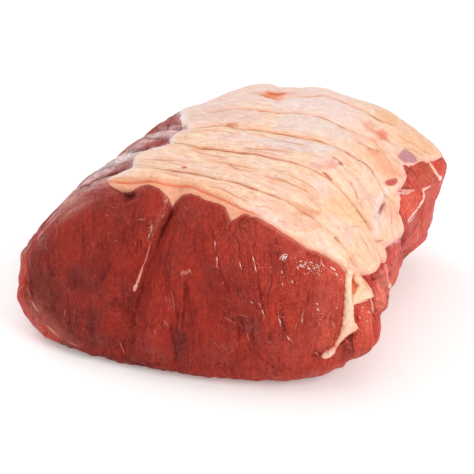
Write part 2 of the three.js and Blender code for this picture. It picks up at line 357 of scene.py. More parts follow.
RING_OUTER_Y = [
    [[-48, -48, -44, -44], [-54, -58, -54, -48]],
    [[-20, -4, -9, -24], [-34, -37, -25, -20]],
    [[12, 32, 30, 12], [6.5, 9, 12, 12]],
    [[38, 52, 46, 34], [28, 30, 34, 38]],
    [[60, 66, 62, 54], [49, 49, 56, 60]],
]


def ring_curves():
    out = []
    for k, px in enumerate(RING_PX):
        P = cast(dense(px, 4.0), 1.0)
        ang = np.degrees(np.arctan2(P[:, 0], P[:, 2] - CORE[2]))
        order = np.argsort(ang)
        ang, y = ang[order], P[order, 1]
        keep = np.concatenate([[True], np.diff(ang) > 0.8])
        ang, y = ang[keep], y[keep]
        la, ra = np.array(RING_OUTER_ANGLES[0]), np.array(RING_OUTER_ANGLES[1])
        ly, ry = np.array(RING_OUTER_Y[k][0]), np.array(RING_OUTER_Y[k][1])
        lk, rk = la < ang[0] - 4, ra > ang[-1] + 4
        out.append(curve(np.concatenate([la[lk], ang, ra[rk]]), np.concatenate([ly[lk], y, ry[rk]])))
    return out


RING = ring_curves()
RING_PITCH = 25.0


def flow(P):
    """Coordinates that follow the string rings: round the joint, and along it."""
    ang = np.degrees(np.arctan2(P[:, 0], P[:, 2] - CORE[2]))
    ys = np.stack([r(ang) for r in RING], -1)
    for k in range(1, 5):
        ys[:, k] = np.maximum(ys[:, k], ys[:, k - 1] + 6)
    y = P[:, 1]
    q = (y - ys[:, 0]) / RING_PITCH
    for k in range(4):
        inside = (y >= ys[:, k])
        q = np.where(inside, k + np.minimum((y - ys[:, k]) / (ys[:, k + 1] - ys[:, k]), 1.0), q)
    q = np.where(y >= ys[:, 4], 4 + (y - ys[:, 4]) / RING_PITCH, q)
    around = ang * 1.15
    return np.stack([around, q * RING_PITCH, np.zeros(len(P))], -1), ang, ys


ring_depth = curve([-180, -120, -80, -45, -20, 0, 40, 62, 78, 110, 150, 180], [0.8, 0.8, 3.6, 2.8, 1.4, 1.1, 0.5, 0.8, 4.6, 6.0, 1.0, 0.8])
swell = curve([-180, -60, 0, 20, 36, 60, 76, 180], [0.7, 0.7, 0.7, 0.5, 0.26, 0.26, 0.7, 0.7])

VALLEY = np.array([[-15, 97], [-18, 85], [-23, 71], [-28, 50], [-35, 24], [-42, 10]], float)


def plane_distance(x, z, line):
    best = np.full(len(x), 1e9)
    for a, b in zip(line[:-1], line[1:]):
        u = b - a
        t = np.clip(((x - a[0]) * u[0] + (z - a[1]) * u[1]) / (u @ u), 0, 1)
        best = np.minimum(best, np.hypot(x - a[0] - t * u[0], z - a[1] - t * u[1]))
    return best


def end_fade(P):
    x, y, z = P.T
    return np.minimum(sstep((y - near_end(x, z)) / 14), sstep((far_end(x, z) - y) / 20))


def ring_offset(P, ys):
    """Signed distance to the nearest string ring, and which ring it is."""
    x, y, z = P.T
    wander = 0.5 * noise(P / 14.0, 5)
    off = y[:, None] + wander[:, None] - ys
    k = np.argmin(np.abs(off), axis=1)
    return off[np.arange(len(P)), k], k


def relief(P, F, ang, ys):
    """The broad relief shared by lean and fat: string rings, swell and the front valley."""
    x, y, z = P.T
    on_side = sstep((z - 1) / 14)
    rs, k = ring_offset(P, ys)
    d = np.abs(rs)
    keep = end_fade(P)
    deep = ring_depth(ang)
    q = F[:, 1] / RING_PITCH
    frac = np.where((q > 0) & (q < 4), q - np.floor(q), np.clip(np.where(q <= 0, -q, q - 4), 0, 0.5))
    lobe = np.sin(np.pi * np.clip(frac, 0, 1)) ** 0.55
    sharp = np.exp(-((d / 1.6) ** 2))
    push = (-deep * (0.75 * (1 - lobe) + 0.25 * sharp) + swell(ang) * lobe) * keep
    dv = plane_distance(x, z, VALLEY)
    push -= 3.2 * np.exp(-((dv / 6) ** 2)) * sstep((-y - 42) / 14)
    push += 1.3 * noise(P / 34.0, 3) + 0.6 * noise(P / 14.0, 4)
    push = push * on_side + outline_humps(P)
    return push, rs, k


# =====================================================================
# Meshes on a grid of directions
# =====================================================================
def box_grid(nx, ny, nz, bx=100.0, by=88.0, bz=55.0, cz=50.0, sides="all"):
    """Directions from the core to an even grid on a box; returns merged directions and quads."""
    def lin(n):
        return np.linspace(-1, 1, n + 1)
    faces = []
    X, Z = np.meshgrid(lin(nx), lin(nz), indexing="ij")
    faces.append((X, -np.ones_like(X), Z, False))
    faces.append((X, np.ones_like(X), Z, True))
    Y, Z = np.meshgrid(lin(ny), lin(nz), indexing="ij")
    faces.append((np.ones_like(Y), Y, Z, False))
    faces.append((-np.ones_like(Y), Y, Z, True))
    X, Y = np.meshgrid(lin(nx), lin(ny), indexing="ij")
    faces.append((X, Y, np.ones_like(X), False))
    if sides == "all":
        faces.append((X, Y, -np.ones_like(X), True))
    pts, quads, k = [], [], 0
    for A, B, C, flip in faces:
        pts.append(np.stack([A.ravel() * bx, B.ravel() * by, C.ravel() * bz + cz], -1))
        idx = np.arange(A.size).reshape(A.shape) + k
        q = np.stack([idx[:-1, :-1], idx[1:, :-1], idx[1:, 1:], idx[:-1, 1:]], -1).reshape(-1, 4)
        if flip:
            q = q[:, ::-1]
        quads.append(q)
        k += A.size
    pts = np.concatenate(pts)
    quads = np.concatenate(quads)
    key = np.round(pts * 1e4).astype(np.int64)
    _, first, inv = np.unique(key, axis=0, return_index=True, return_inverse=True)
    D = pts[first] - CORE
    D /= np.linalg.norm(D, axis=1, keepdims=True)
    return D, inv.reshape(-1)[quads]


def vertex_normals(V, Q):
    n = np.cross(V[Q[:, 2]] - V[Q[:, 0]], V[Q[:, 3]] - V[Q[:, 1]])
    out = np.zeros_like(V)
    for k in range(4):
        np.add.at(out, Q[:, k], n)
    return out / (np.linalg.norm(out, axis=1, keepdims=True) + 1e-12)


def make_mesh(name, V, faces, attrs=None, smooth=True):
    """V in millimetres in the joint's own frame; attrs: name -> (n,) or (n,3) per vertex."""
    V = (V + SHIFT) / 1000.0
    me = bpy.data.meshes.new(name)
    faces = np.asarray(faces, np.int32)
    k = faces.shape[1]
    me.vertices.add(len(V))
    me.vertices.foreach_set("co", V.astype(np.float32).ravel())
    me.loops.add(faces.size)
    me.loops.foreach_set("vertex_index", faces.ravel())
    me.polygons.add(len(faces))
    me.polygons.foreach_set("loop_start", np.arange(0, faces.size, k, dtype=np.int32))
    me.polygons.foreach_set("loop_total", np.full(len(faces), k, np.int32))
    me.polygons.foreach_set("use_smooth", np.full(len(faces), smooth))
    me.update(calc_edges=True)
    me.validate()
    for key, val in (attrs or {}).items():
        val = np.asarray(val, np.float32)
        if val.ndim == 1:
            a = me.attributes.new(key, "FLOAT", "POINT")
            a.data.foreach_set("value", val)
        elif key.startswith("tint"):
            a = me.attributes.new(key, "FLOAT_COLOR", "POINT")
            a.data.foreach_set("color", np.concatenate([val, np.ones((len(val), 1), np.float32)], 1).ravel())
        else:
            a = me.attributes.new(key, "FLOAT_VECTOR", "POINT")
            a.data.foreach_set("vector", val.ravel())
    ob = bpy.data.objects.new(name, me)
    bpy.context.scene.collection.objects.link(ob)
    return ob


def thin_out(ob, weight, quads, target):
    """Brings the mesh under target triangles: first where nothing is seen, then where it is smooth."""
    hidden = weight > 0.99
    hidden_tris = 2 * int(hidden[quads].all(1).sum())
    total = 2 * len(quads)
    left = total - 0.93 * hidden_tris
    a = ob.vertex_groups.new(name="hidden")
    a.add([int(i) for i in np.where(hidden)[0]], 1.0, "REPLACE")
    b = ob.vertex_groups.new(name="soft")
    for w in np.unique(np.round(weight, 2)):
        if w > 0:
            b.add([int(i) for i in np.where(np.abs(weight - w) < 0.006)[0]], float(w), "REPLACE")
    m1 = ob.modifiers.new("hidden", "DECIMATE")
    m1.ratio = left / total
    m1.vertex_group = "hidden"
    m1.vertex_group_factor = 1000.0
    if left > target:
        m2 = ob.modifiers.new("soft", "DECIMATE")
        m2.ratio = target / left
        m2.vertex_group = "soft"
        m2.vertex_group_factor = 0.00002
    dg = bpy.context.evaluated_depsgraph_get()
    me = bpy.data.meshes.new_from_object(ob.evaluated_get(dg))
    old = ob.data
    ob.modifiers.clear()
    ob.vertex_groups.clear()
    ob.data = me
    bpy.data.meshes.remove(old)
    me.name = ob.name
    me.polygons.foreach_set("use_smooth", np.full(len(me.polygons), True))
    tris = sum(len(p.vertices) - 2 for p in me.polygons)
    print(ob.name, "quads", len(quads), "hidden tris", hidden_tris, "triangles after", tris)
    return ob


# =====================================================================
# The fat's edge
# =====================================================================
hidden = from_map(HIDDEN_TILT, HIDDEN_BEARING)
edge_front = cast(smooth_line(FRONT, 1.0, 1))
edge_right = cast(smooth_line(RIGHT, 1.0, 1))
edge_left = cast(smooth_line(LEFT, 1.0, 2))[::-1]
hid = []
chain = [edge_right[-1]] + list(hidden) + [edge_left[0]]
ch_map = to_map(np.array(chain))
tt = np.linspace(0, len(chain) - 1, 160)
hm = np.stack([np.interp(tt, range(len(chain)), ch_map[:, 0]), np.interp(tt, range(len(chain)), ch_map[:, 1])], -1)
for _ in range(6):
    hm[1:-1] = 0.25 * hm[:-2] + 0.5 * hm[1:-1] + 0.25 * hm[2:]
edge_hidden = from_map(np.hypot(hm[:, 0], hm[:, 1]), np.degrees(np.arctan2(hm[:, 1], hm[:, 0])))
EDGE = np.concatenate([edge_front, edge_right, edge_hidden[1:-1], edge_left[:-1]])
EDGE_MAP = to_map(EDGE)
EDGE_KIND = np.concatenate([np.zeros(len(edge_front)), np.ones(len(edge_right)), np.full(len(edge_hidden) - 2, 2.0), np.full(len(edge_left) - 1, 3.0)])
loop = np.concatenate([EDGE, EDGE[:1]])
seg = np.linalg.norm(np.diff(loop, axis=0), axis=1)
cum = np.concatenate([[0], np.cumsum(seg)])
qs = np.arange(0, cum[-1], 0.35)
EDGE_FINE = np.stack([np.interp(qs, cum, loop[:, k]) for k in range(3)], -1)
kind_fine = np.interp(qs, cum, np.concatenate([EDGE_KIND, EDGE_KIND[:1]]))
edge_tree = KDTree(len(EDGE_FINE))
for i, p in enumerate(EDGE_FINE):
    edge_tree.insert(Vector(p), i)
edge_tree.balance()


def fat_side(V, only=None):
    """Signed distance to the fat's edge, above zero on the fat, and the kind of the nearest edge point."""
    M = to_map(V)
    inside = in_polygon(M, EDGE_MAP)
    d = np.full(len(V), 50.0)
    near = np.zeros(len(V), int)
    find = edge_tree.find
    # far from the edge the exact distance does not matter
    coarse = EDGE_MAP[::6]
    gap = np.full(len(V), 1e9)
    for c in coarse:
        gap = np.minimum(gap, np.hypot(M[:, 0] - c[0], M[:, 1] - c[1]))
    close = np.where(gap < 16)[0]
    for i in close:
        _, j, dist = find(V[i])
        d[i] = dist
        near[i] = j
    d = np.minimum(d, 22.0)
    return np.where(inside, d, -d), kind_fine[near]


# =====================================================================
# Lean
# =====================================================================
def c3(r, g, b):
    """sRGB 0-255 to linear."""
    v = np.array([r, g, b], float) / 255
    return np.where(v <= 0.04045, v / 12.92, ((v + 0.055) / 1.055) ** 2.4)


def blend_to(col, target, w):
    w = np.clip(w, 0, 1)[:, None]
    return col * (1 - w) + np.asarray(target)[None, :] * w


# colour on the left shoulder: silverskin and muscle, with painted highlights along the fold ridges and painted shade in
# the grooves between them
SHOULDER_SPOTS_AND_PAINTED_LIGHT = [
    (66, 201, 12, 3.0, (206, 150, 142), 0.75), (84, 188.5, 10, 2.2, (230, 176, 166), 0.8), (100, 181, 9, 2.4, (214, 150, 140), 0.7),
    (92, 180, 9, 2.4, (204, 140, 138), 0.8), (104, 175.5, 7, 2.0, (226, 176, 172), 0.8), (118, 170.5, 5, 1.6, (150, 66, 62), 0.7),
    (92, 174, 12, 3.4, (178, 128, 128), 0.8), (112, 166, 12, 3.6, (190, 128, 126), 0.8), (128, 160.5, 10, 3.0, (196, 136, 134), 0.8),
    (108, 162.5, 9, 1.8, (232, 196, 198), 0.8), (122, 157, 11, 2.2, (240, 214, 220), 0.9), (136, 153.5, 9, 1.8, (240, 212, 216), 0.9),
    (147, 151, 8, 1.6, (240, 214, 218), 0.85), (150, 155, 6, 2.0, (232, 190, 188), 0.6),
    (127, 151.5, 9, 1.4, (132, 60, 58), 0.7), (146, 146, 10, 2.0, (164, 58, 54), 0.9), (164, 143, 6, 2.2, (190, 74, 66), 0.8),
    (138, 144.5, 8, 1.8, (190, 130, 128), 0.7), (134, 141.5, 10, 1.6, (214, 170, 170), 0.6), (156, 139, 10, 2.4, (206, 134, 130), 0.8),
    (160, 133, 12, 2.4, (214, 158, 156), 0.8), (176, 130, 9, 2.4, (206, 140, 140), 0.8), (150, 134, 6, 2.0, (176, 96, 92), 0.6),
    (166, 123, 8, 3.6, (158, 62, 60), 0.85), (176, 117, 5, 4.0, (190, 92, 88), 0.8), (160, 126, 4, 2.0, (120, 46, 48), 0.6),
    (170, 113, 6, 1.4, (206, 150, 146), 0.6), (126, 149, 5, 1.0, (220, 186, 188), 0.5),
]


# creases on the cut end: (path, depth mm, width mm, darkening, which is painted shade in the crease)
CREASES = [
    ([(212, 232), (213, 245), (216, 256), (217.5, 267), (221, 275), (225, 283), (228, 292), (231, 300)], 1.0, 1.2, 0.55),
    ([(238, 236), (239, 252), (241, 263), (243, 275)], 0.9, 1.2, 0.5),
    ([(246, 238), (247, 255), (249, 272), (250, 288)], 0.8, 1.4, 0.45),
    ([(252.5, 238), (253, 250), (255, 262), (257, 272), (258, 286), (261, 300), (263.5, 312), (264.5, 324)], 0.9, 1.2, 0.5),
    ([(282, 302), (281, 312), (281, 321), (284, 330), (288, 338), (293, 346)], 0.9, 1.3, 0.5),
    ([(269, 330), (269.5, 337), (271, 344)], 1.0, 1.2, 0.6),
    ([(239, 319), (242, 323), (243.5, 328), (243, 332)], 1.3, 1.1, 0.75),
    ([(233, 316), (240, 317), (247, 318), (253, 323)], 0.9, 1.0, 0.6),
    ([(222, 312), (229, 316), (236, 320)], 0.8, 0.9, 0.5),
    ([(219, 320), (227, 325), (234, 330)], 0.8, 0.9, 0.5),
    ([(236, 324), (239, 332), (238, 341)], 0.8, 1.0, 0.5),
    ([(185, 276), (184, 292), (183, 308), (180.5, 326)], 1.2, 1.3, 0.7),
    ([(187, 283), (187.5, 300), (189, 312), (192, 322)], 0.9, 1.1, 0.6),
    ([(172, 290), (174.5, 303), (176, 318), (175.5, 331)], 1.1, 1.3, 0.65),
    ([(165, 322), (170, 330), (174, 340), (176, 352), (175, 366)], 1.6, 1.4, 0.85),
    ([(200, 233), (203, 248), (205, 262)], 0.5, 1.3, 0.3),
    ([(252, 326), (250, 338), (248, 346)], 0.8, 1.1, 0.5),
    ([(246, 349), (253, 350), (260, 357), (270, 364)], 0.9, 1.4, 0.5),
    ([(232, 366), (240, 360), (249, 353)], 0.6, 1.2, 0.35),
    ([(312, 350), (317, 351), (321, 356)], 1.3, 1.1, 0.9),
    ([(311, 356), (316, 355), (321, 356)], 0.7, 1.0, 0.6),
    ([(293, 343), (296, 351)], 0.8, 1.0, 0.6),
    ([(204, 352), (206, 359), (214, 363), (221, 362)], 0.9, 1.3, 0.45),
    ([(200, 330), (199, 342), (203, 352)], 0.6, 1.3, 0.35),
    ([(170, 204), (168.5, 211), (164, 221), (159, 231), (155, 241), (152, 250)], 2.4, 1.5, 1.0),
    ([(152, 250), (146, 262), (141, 278), (136, 296), (129, 316), (122, 336)], 1.3, 2.0, 0.5),
    ([(127, 253), (124, 272), (121, 290), (117, 310)], 0.7, 1.8, 0.35),
    # the next two creases lie in the pocket under the fat's overhang; their darkening is painted shadow
    ([(118, 191), (124, 194.5), (130, 195), (136, 192)], 1.4, 1.6, 0.9),
    ([(110, 186), (116, 190), (120, 193)], 1.0, 1.2, 0.8),
    ([(86, 222), (84, 236), (84, 250), (81, 263)], 1.0, 1.5, 0.5),
    ([(111, 260), (107, 270), (101, 281)], 0.9, 1.4, 0.5),
    ([(72, 268), (74, 279), (71, 292)], 1.5, 2.6, 0.6),
    ([(67, 288), (66, 302), (68, 318), (69, 334)], 0.8, 1.3, 0.45),
    ([(92, 322), (90, 333), (94, 347)], 0.8, 1.3, 0.45),
    ([(125, 297), (124.5, 312), (126, 320)], 1.0, 1.3, 0.6),
    ([(118, 345), (121, 351), (125, 357), (133, 361), (144, 365), (165, 363)], 1.1, 1.3, 0.5),
    ([(145, 322), (142, 334), (144, 348), (150, 359)], 0.8, 1.4, 0.4),
    ([(33, 262), (36, 276), (34, 290)], 0.7, 1.4, 0.4),
    ([(50, 236), (47, 248), (48, 262), (52, 278)], 0.8, 1.4, 0.4),
    ([(28, 262), (31, 282), (34, 300)], 0.8, 1.2, 0.45),
    ([(282, 262), (283, 272), (285, 284)], 0.6, 1.1, 0.4),
    ([(300, 272), (297, 286), (296, 300)], 0.6, 1.3, 0.35),
    ([(311, 276), (309, 290), (306, 304)], 0.6, 1.2, 0.35),
    ([(268, 240), (270, 256), (272, 270)], 0.5, 1.4, 0.3),
    ([(228, 236), (229, 250), (231, 266)], 0.5, 1.3, 0.3),
    ([(193, 236), (195, 250), (193, 262)], 0.4, 1.3, 0.25),
    ([(172, 232), (168, 248), (164, 262), (162, 276)], 0.7, 1.6, 0.4),
    ([(336, 347), (343, 341), (350, 336), (357, 331)], 1.6, 1.4, 0.95),
    ([(350, 335), (351, 344), (352, 353)], 1.1, 1.4, 0.85),
    ([(343, 343), (344, 352), (341, 362)], 0.7, 1.2, 0.5),
    ([(373, 297), (373.5, 306), (376, 315)], 1.6, 1.3, 0.8),
    ([(356, 306), (355, 314), (357, 322)], 1.0, 1.1, 0.7),
    ([(366, 276), (372, 281), (379, 276), (383, 272)], 0.8, 1.1, 0.6),
    ([(388, 246), (390, 256), (391, 268), (391, 280)], 1.0, 1.4, 0.5),
    ([(399, 240), (397, 254), (394, 268)], 0.8, 1.2, 0.5),
    ([(407, 229), (407, 240), (406, 250), (405, 257)], 1.8, 1.3, 0.95),
    ([(404, 240), (402, 250), (400, 262)], 0.7, 1.0, 0.5),
    ([(417, 213), (416, 224), (412, 232), (408, 238)], 0.9, 1.1, 0.7),
    ([(425, 198), (424, 210), (421, 222)], 0.8, 1.2, 0.45),
    ([(412, 166), (409, 175), (404, 184)], 0.6, 1.1, 0.5),
    ([(398, 188.5), (404, 187), (412, 188.5)], 0.9, 0.9, 0.75),
    ([(415, 190), (413, 199), (407, 207), (405, 214)], 0.5, 1.0, 0.35),
    ([(436, 186), (431, 196), (429, 208), (428, 220)], 0.8, 1.2, 0.5),
]
# creases over the left shoulder, the same way
SHOULDER = [
    ([(74, 190), (84, 183.5), (95, 177.5), (108, 173), (114, 171.5), (122, 168), (131, 164)], 2.0, 1.3, 0.95),
    ([(113, 159.5), (122, 153.5), (131, 150.5), (141, 147.5), (152, 146.5), (163, 147)], 1.8, 1.2, 0.95),
    ([(149, 135), (155, 131), (163, 128), (172, 126.5), (184, 126)], 1.8, 1.2, 0.95),
    ([(128, 145), (138, 141), (149, 137.5), (158, 137), (168, 138)], 1.0, 1.0, 0.6),
    ([(85, 179), (95, 172), (106, 166), (118, 161)], 0.7, 0.9, 0.5),
    ([(98, 171), (110, 166), (122, 161.5), (132, 158)], 0.8, 0.9, 0.6),
    ([(105, 172), (116, 168), (126, 163)], 0.5, 0.8, 0.5),
    ([(158, 124), (166, 119), (174, 115)], 0.8, 0.9, 0.6),
    ([(160, 128), (168, 123), (178, 120)], 0.7, 0.9, 0.5),
    ([(154, 144), (162, 141), (170, 139)], 0.9, 1.0, 0.7),
    ([(58, 206), (70, 196), (84, 188), (98, 181), (106, 179)], 0.5, 1.4, 0.2),
]
# soft humps and hollows on the lean: (x, y, height mm, radius mm)
HUMPS = [
    (148, 200, 1.6, 9), (190, 215, 1.2, 14), (250, 240, 1.0, 16), (70, 235, 1.2, 12), (100, 255, 1.0, 10),
    (155, 342, 2.0, 9), (102, 334, 1.4, 7), (213, 346, 1.8, 8), (240, 345, 1.0, 7), (276, 338, 1.6, 8), (300, 330, 1.4, 11),
    (124, 196, -3.0, 3.4), (132, 196, -1.6, 2.6), (168, 214, -1.2, 3.5),
    (197, 322, -0.9, 7), (84, 298, -1.0, 8), (135, 300, -1.0, 9), (30, 300, 1.0, 8), (24, 252, 1.4, 5), (23, 283, -2.0, 3.2),
    (364, 322, 2.0, 10), (384, 296, 1.6, 7), (420, 206, -0.8, 5), (44, 322, 1.0, 6), (62, 335, 0.9, 5),
    (320, 300, 0.8, 14), (345, 350, -1.6, 3.0), (311, 366, 1.6, 4), (330, 366, 1.4, 4), (278, 368, 1.4, 9), (180, 364, -1.2, 4),
    (230, 280, -0.8, 9), (175, 260, -0.8, 8), (262, 262, 0.8, 5), (272, 300, 0.8, 7), (300, 285, 0.7, 6), (225, 322, 0.8, 5),
    (365, 345, 2.2, 8), (398, 252, 1.2, 8), (418, 235, 1.6, 8), (410, 205, 1.0, 5), (425, 175, 1.0, 5), (440, 166, 1.2, 4),
]
OUTLINE = [
    (381.5, 317, -3.2, 3.6), (391, 290, -1.8, 3.2), (409, 253.5, -3.6, 4.6), (437, 204, -2.6, 6.5), (372, 344, 2.4, 7), (425, 240, 3.0, 6.5),
    (446, 171, 2.4, 6), (387, 305, 0.8, 3.4), (349, 359, -1.2, 2.8), (337, 371, -1.0, 2.6), (22, 283, -1.6, 3), (19, 268, -1.0, 5), (16, 298, 0.8, 3),
    (281, 89, -2.2, 5), (297, 87, -1.4, 8), (215, 101, -1.8, 9), (197, 108, -1.6, 6), (426, 137, -1.8, 9), (410, 126, -1.2, 8), (152, 130, -1.0, 6),
    (257, 87, 0.8, 7), (330, 92, 0.6, 8), (172, 115, 0.8, 4), (128, 152, 0.5, 5),
]
# facets of the muscles on the far right and the near corner, silverskin on the left shoulder with a painted highlight
# along a ridge, and a painted glow through the thin left rim
LEAN_PATCHES_AND_PAINTED_LIGHT = [
    # the thin left rim: a painted glow of light through it
    ([(21, 258), (28, 258), (28, 272), (25, 284), (23, 292), (24, 299), (29, 307), (38, 318), (50, 329), (62, 337), (58, 343), (42, 336), (28, 326),
      (18, 314), (12, 304), (12, 292), (16, 284), (17, 270)], 3.2, (216, 68, 48), 0.6),
    ([(28, 296), (34, 300), (42, 308), (52, 318), (62, 328), (76, 338), (84, 345), (78, 348), (64, 341), (52, 333), (40, 324), (31, 313), (26, 304)], 3.0,
     (190, 100, 90), 0.22),
    ([(158, 186), (163, 188), (168, 195), (169.5, 204), (166, 214), (160, 224), (154, 234), (150, 242), (147, 241), (151, 229), (157, 218), (162, 208),
      (163.5, 199), (161, 192)], 1.3, (196, 96, 78), 0.4),
    ([(75, 191), (84, 181), (95, 173), (105, 167), (113, 161), (120, 157), (128, 153), (136, 150), (145, 149), (138, 155), (137, 160), (132, 165),
      (124, 168), (113, 172), (100, 176), (88, 183), (78, 191)], 1.6, (250, 206, 206), 0.9),
    ([(110, 171), (118, 167), (126, 163), (134, 158), (137, 160), (132, 165), (122, 169), (113, 172)], 1.4, (196, 112, 112), 0.8),
    # painted highlight along the ridge of a silverskin fold
    ([(92, 174), (101, 168), (112, 161), (119, 157), (127, 153.5), (134, 151), (142, 149.5), (139, 153), (130, 157), (121, 161), (110, 166), (98, 172)], 1.4, (255, 240, 242), 0.9),
    ([(58, 204), (70, 194), (82, 187), (95, 180), (105, 176), (111, 175), (107, 180), (98, 184), (84, 191), (70, 200), (60, 207)], 2.2, (224, 170, 164), 0.72),
    ([(120, 156), (128, 149), (138, 142), (146, 136), (152, 132), (158, 129), (166, 126), (176, 124), (187, 124), (186, 130), (179, 134), (172, 139),
      (168, 138), (158, 139), (150, 142), (142, 147), (132, 152), (124, 156)], 1.4, (242, 192, 190), 0.75),
    ([(134, 151), (144, 147), (151, 143), (158, 140), (167, 138), (171, 141), (166, 145), (158, 146.5), (149, 147), (140, 150)], 1.2, (184, 78, 72), 0.85),
    ([(150, 136), (158, 132), (168, 130), (178, 130), (172, 134), (160, 136), (152, 139)], 1.4, (250, 214, 210), 0.7),
    ([(156, 131), (161, 124), (167, 118), (173, 113), (179, 110), (180, 116), (181, 121), (184, 126), (175, 126), (166, 127), (160, 130)], 1.4, (200, 110, 104), 0.8),
    ([(160, 126), (166, 121), (172, 120), (179, 122), (181, 125), (170, 126), (163, 127)], 1.2, (166, 64, 58), 0.7),
    ([(136, 161), (138, 155), (145, 151), (152, 148), (161, 146.5), (154, 150.5), (146, 154), (141, 159)], 1.0, (246, 234, 236), 0.9),
    ([(387, 262), (390, 250), (398, 243), (407, 236), (409, 232), (409, 250), (403, 262), (396, 275), (392, 287), (388, 280)], 2.0, (222, 92, 80), 0.6),
    ([(424, 190), (431, 186), (438, 180), (446, 181), (439, 193), (435, 205), (432, 218), (430, 232), (422, 246), (412, 253), (407, 250),
      (408, 232), (414, 222), (420, 210), (425, 200)], 1.6, (228, 98, 86), 0.75),
    ([(404, 164), (416, 162), (424, 160), (428, 163), (433, 170), (438, 177), (432, 184), (424, 188), (421, 187), (415, 179), (409, 171)], 0.8, (216, 92, 70), 0.85),
    ([(402, 185), (406, 180), (408, 172), (413, 178), (419, 186), (417, 188), (410, 187)], 0.8, (230, 94, 80), 0.85),
    ([(398, 199), (402, 195), (410, 193), (418, 191), (421, 194), (421, 200), (417, 207), (411, 213), (406, 219), (404, 214), (401, 206)], 0.8, (244, 104, 84), 0.9),
    ([(431, 162), (438, 159), (443, 158), (449, 170), (449, 176), (443, 181), (439, 177), (436, 171)], 0.7, (228, 80, 64), 0.9),
    ([(375, 284), (380, 270), (386, 268), (389, 282), (388, 296), (386, 306), (379, 313), (374, 304), (374, 296)], 2.0, (250, 134, 114), 0.7),
    ([(356, 306), (366, 301), (374, 302), (378, 312), (381, 325), (379, 338), (368, 351), (355, 356), (350, 345), (352, 336), (358, 329), (355, 318)], 2.0, (210, 76, 58), 0.6),
    ([(386, 248), (392, 244), (400, 239), (406, 235), (407, 231), (412, 224), (416, 216), (418, 217), (412, 229), (409, 238), (398, 246), (389, 254)], 1.2, (206, 104, 96), 0.45),
]
# colour over the meat, among it a painted glow through the thin left rim, a painted highlight on the left edge and a
# painted shadow under the fat's overhang: (x, y, radius across px, radius up px, sRGB, strength)
LEAN_SPOTS_AND_PAINTED_LIGHT = [
    (50, 300, 16, 26, (120, 58, 52), 0.55), (38, 280, 9, 18, (128, 60, 58), 0.5), (60, 335, 14, 8, (140, 66, 60), 0.45),
    (36, 308, 9, 10, (190, 112, 108), 0.75), (46, 320, 9, 7, (186, 104, 98), 0.75), (56, 333, 9, 5, (196, 118, 110), 0.8), (72, 343, 10, 3.5, (170, 84, 74), 0.6),
    # painted glow of light through the thin left rim
    (16, 299, 5, 16, (236, 62, 40), 0.8), (24, 313, 5, 8, (230, 62, 40), 0.8), (35, 327, 6, 6, (206, 60, 44), 0.7),
    # more painted rim glow; (24, 250) is a painted highlight on the left edge
    (50, 340, 9, 5, (188, 60, 46), 0.6), (21, 272, 4, 16, (226, 50, 36), 0.85), (24, 250, 4, 8, (206, 120, 108), 0.6),
    (34, 236, 6, 10, (186, 48, 36), 0.6), (44, 222, 7, 8, (176, 52, 40), 0.55), (42, 240, 5, 8, (168, 110, 112), 0.5),
    (152, 205, 12, 12, (186, 58, 42), 0.6), (125, 215, 20, 10, (158, 58, 48), 0.3), (98, 192, 18, 7, (172, 58, 48), 0.45),
    # (128, 196): painted shadow in the pocket under the fat's overhang
    (128, 196, 9, 4, (112, 48, 54), 0.75), (155, 342, 11, 15, (172, 60, 48), 0.55), (154, 331, 6, 5, (184, 78, 62), 0.5),
    (190, 212, 22, 12, (172, 68, 58), 0.5), (240, 232, 24, 12, (172, 64, 54), 0.45), (225, 290, 26, 24, (136, 40, 32), 0.5),
    (165, 262, 14, 22, (128, 38, 34), 0.5), (130, 300, 12, 26, (126, 42, 38), 0.45), (180, 345, 8, 20, (118, 44, 42), 0.5),
    (85, 290, 16, 16, (142, 42, 34), 0.4), (100, 343, 22, 8, (122, 54, 48), 0.5), (72, 280, 6, 10, (110, 34, 32), 0.5), (104, 275, 5, 6, (116, 34, 30), 0.5),
    (300, 240, 26, 12, (186, 66, 52), 0.5), (335, 268, 10, 8, (214, 66, 50), 0.7), (330, 300, 16, 30, (192, 76, 62), 0.55),
    (326, 335, 12, 16, (196, 84, 68), 0.5), (295, 350, 22, 12, (176, 64, 52), 0.45), (275, 338, 10, 10, (176, 60, 46), 0.4),
    (240, 325, 14, 8, (128, 40, 36), 0.45), (250, 300, 12, 22, (142, 46, 40), 0.4), (213, 346, 9, 14, (166, 56, 44), 0.5),
    (350, 348, 8, 9, (138, 36, 38), 0.75), (366, 338, 10, 10, (200, 74, 54), 0.6), (366, 312, 8, 9, (238, 92, 66), 0.75),
    (374, 330, 5, 14, (232, 84, 70), 0.6), (374, 280, 7, 8, (218, 70, 60), 0.6), (383, 300, 5, 9, (206, 78, 68), 0.6),
    (396, 262, 6, 14, (228, 92, 76), 0.55), (418, 236, 9, 12, (206, 84, 78), 0.6), (424, 215, 6, 12, (198, 76, 70), 0.5),
    (409, 203, 9, 10, (244, 96, 76), 0.9), (425, 173, 10, 10, (206, 88, 66), 0.8), (409, 182, 7, 5, (206, 70, 56), 0.8),
    (442, 170, 5, 10, (212, 74, 58), 0.8), (428, 194, 6, 5, (200, 78, 74), 0.6), (420, 165, 7, 4, (186, 78, 56), 0.6),
    (412, 228, 6, 5, (188, 88, 88), 0.6),
]

LEAN_MID = c3(174, 50, 34)
LEAN_DARK = c3(130, 32, 25)
LEAN_BRIGHT = c3(194, 60, 40)
SILVER = c3(214, 160, 158)


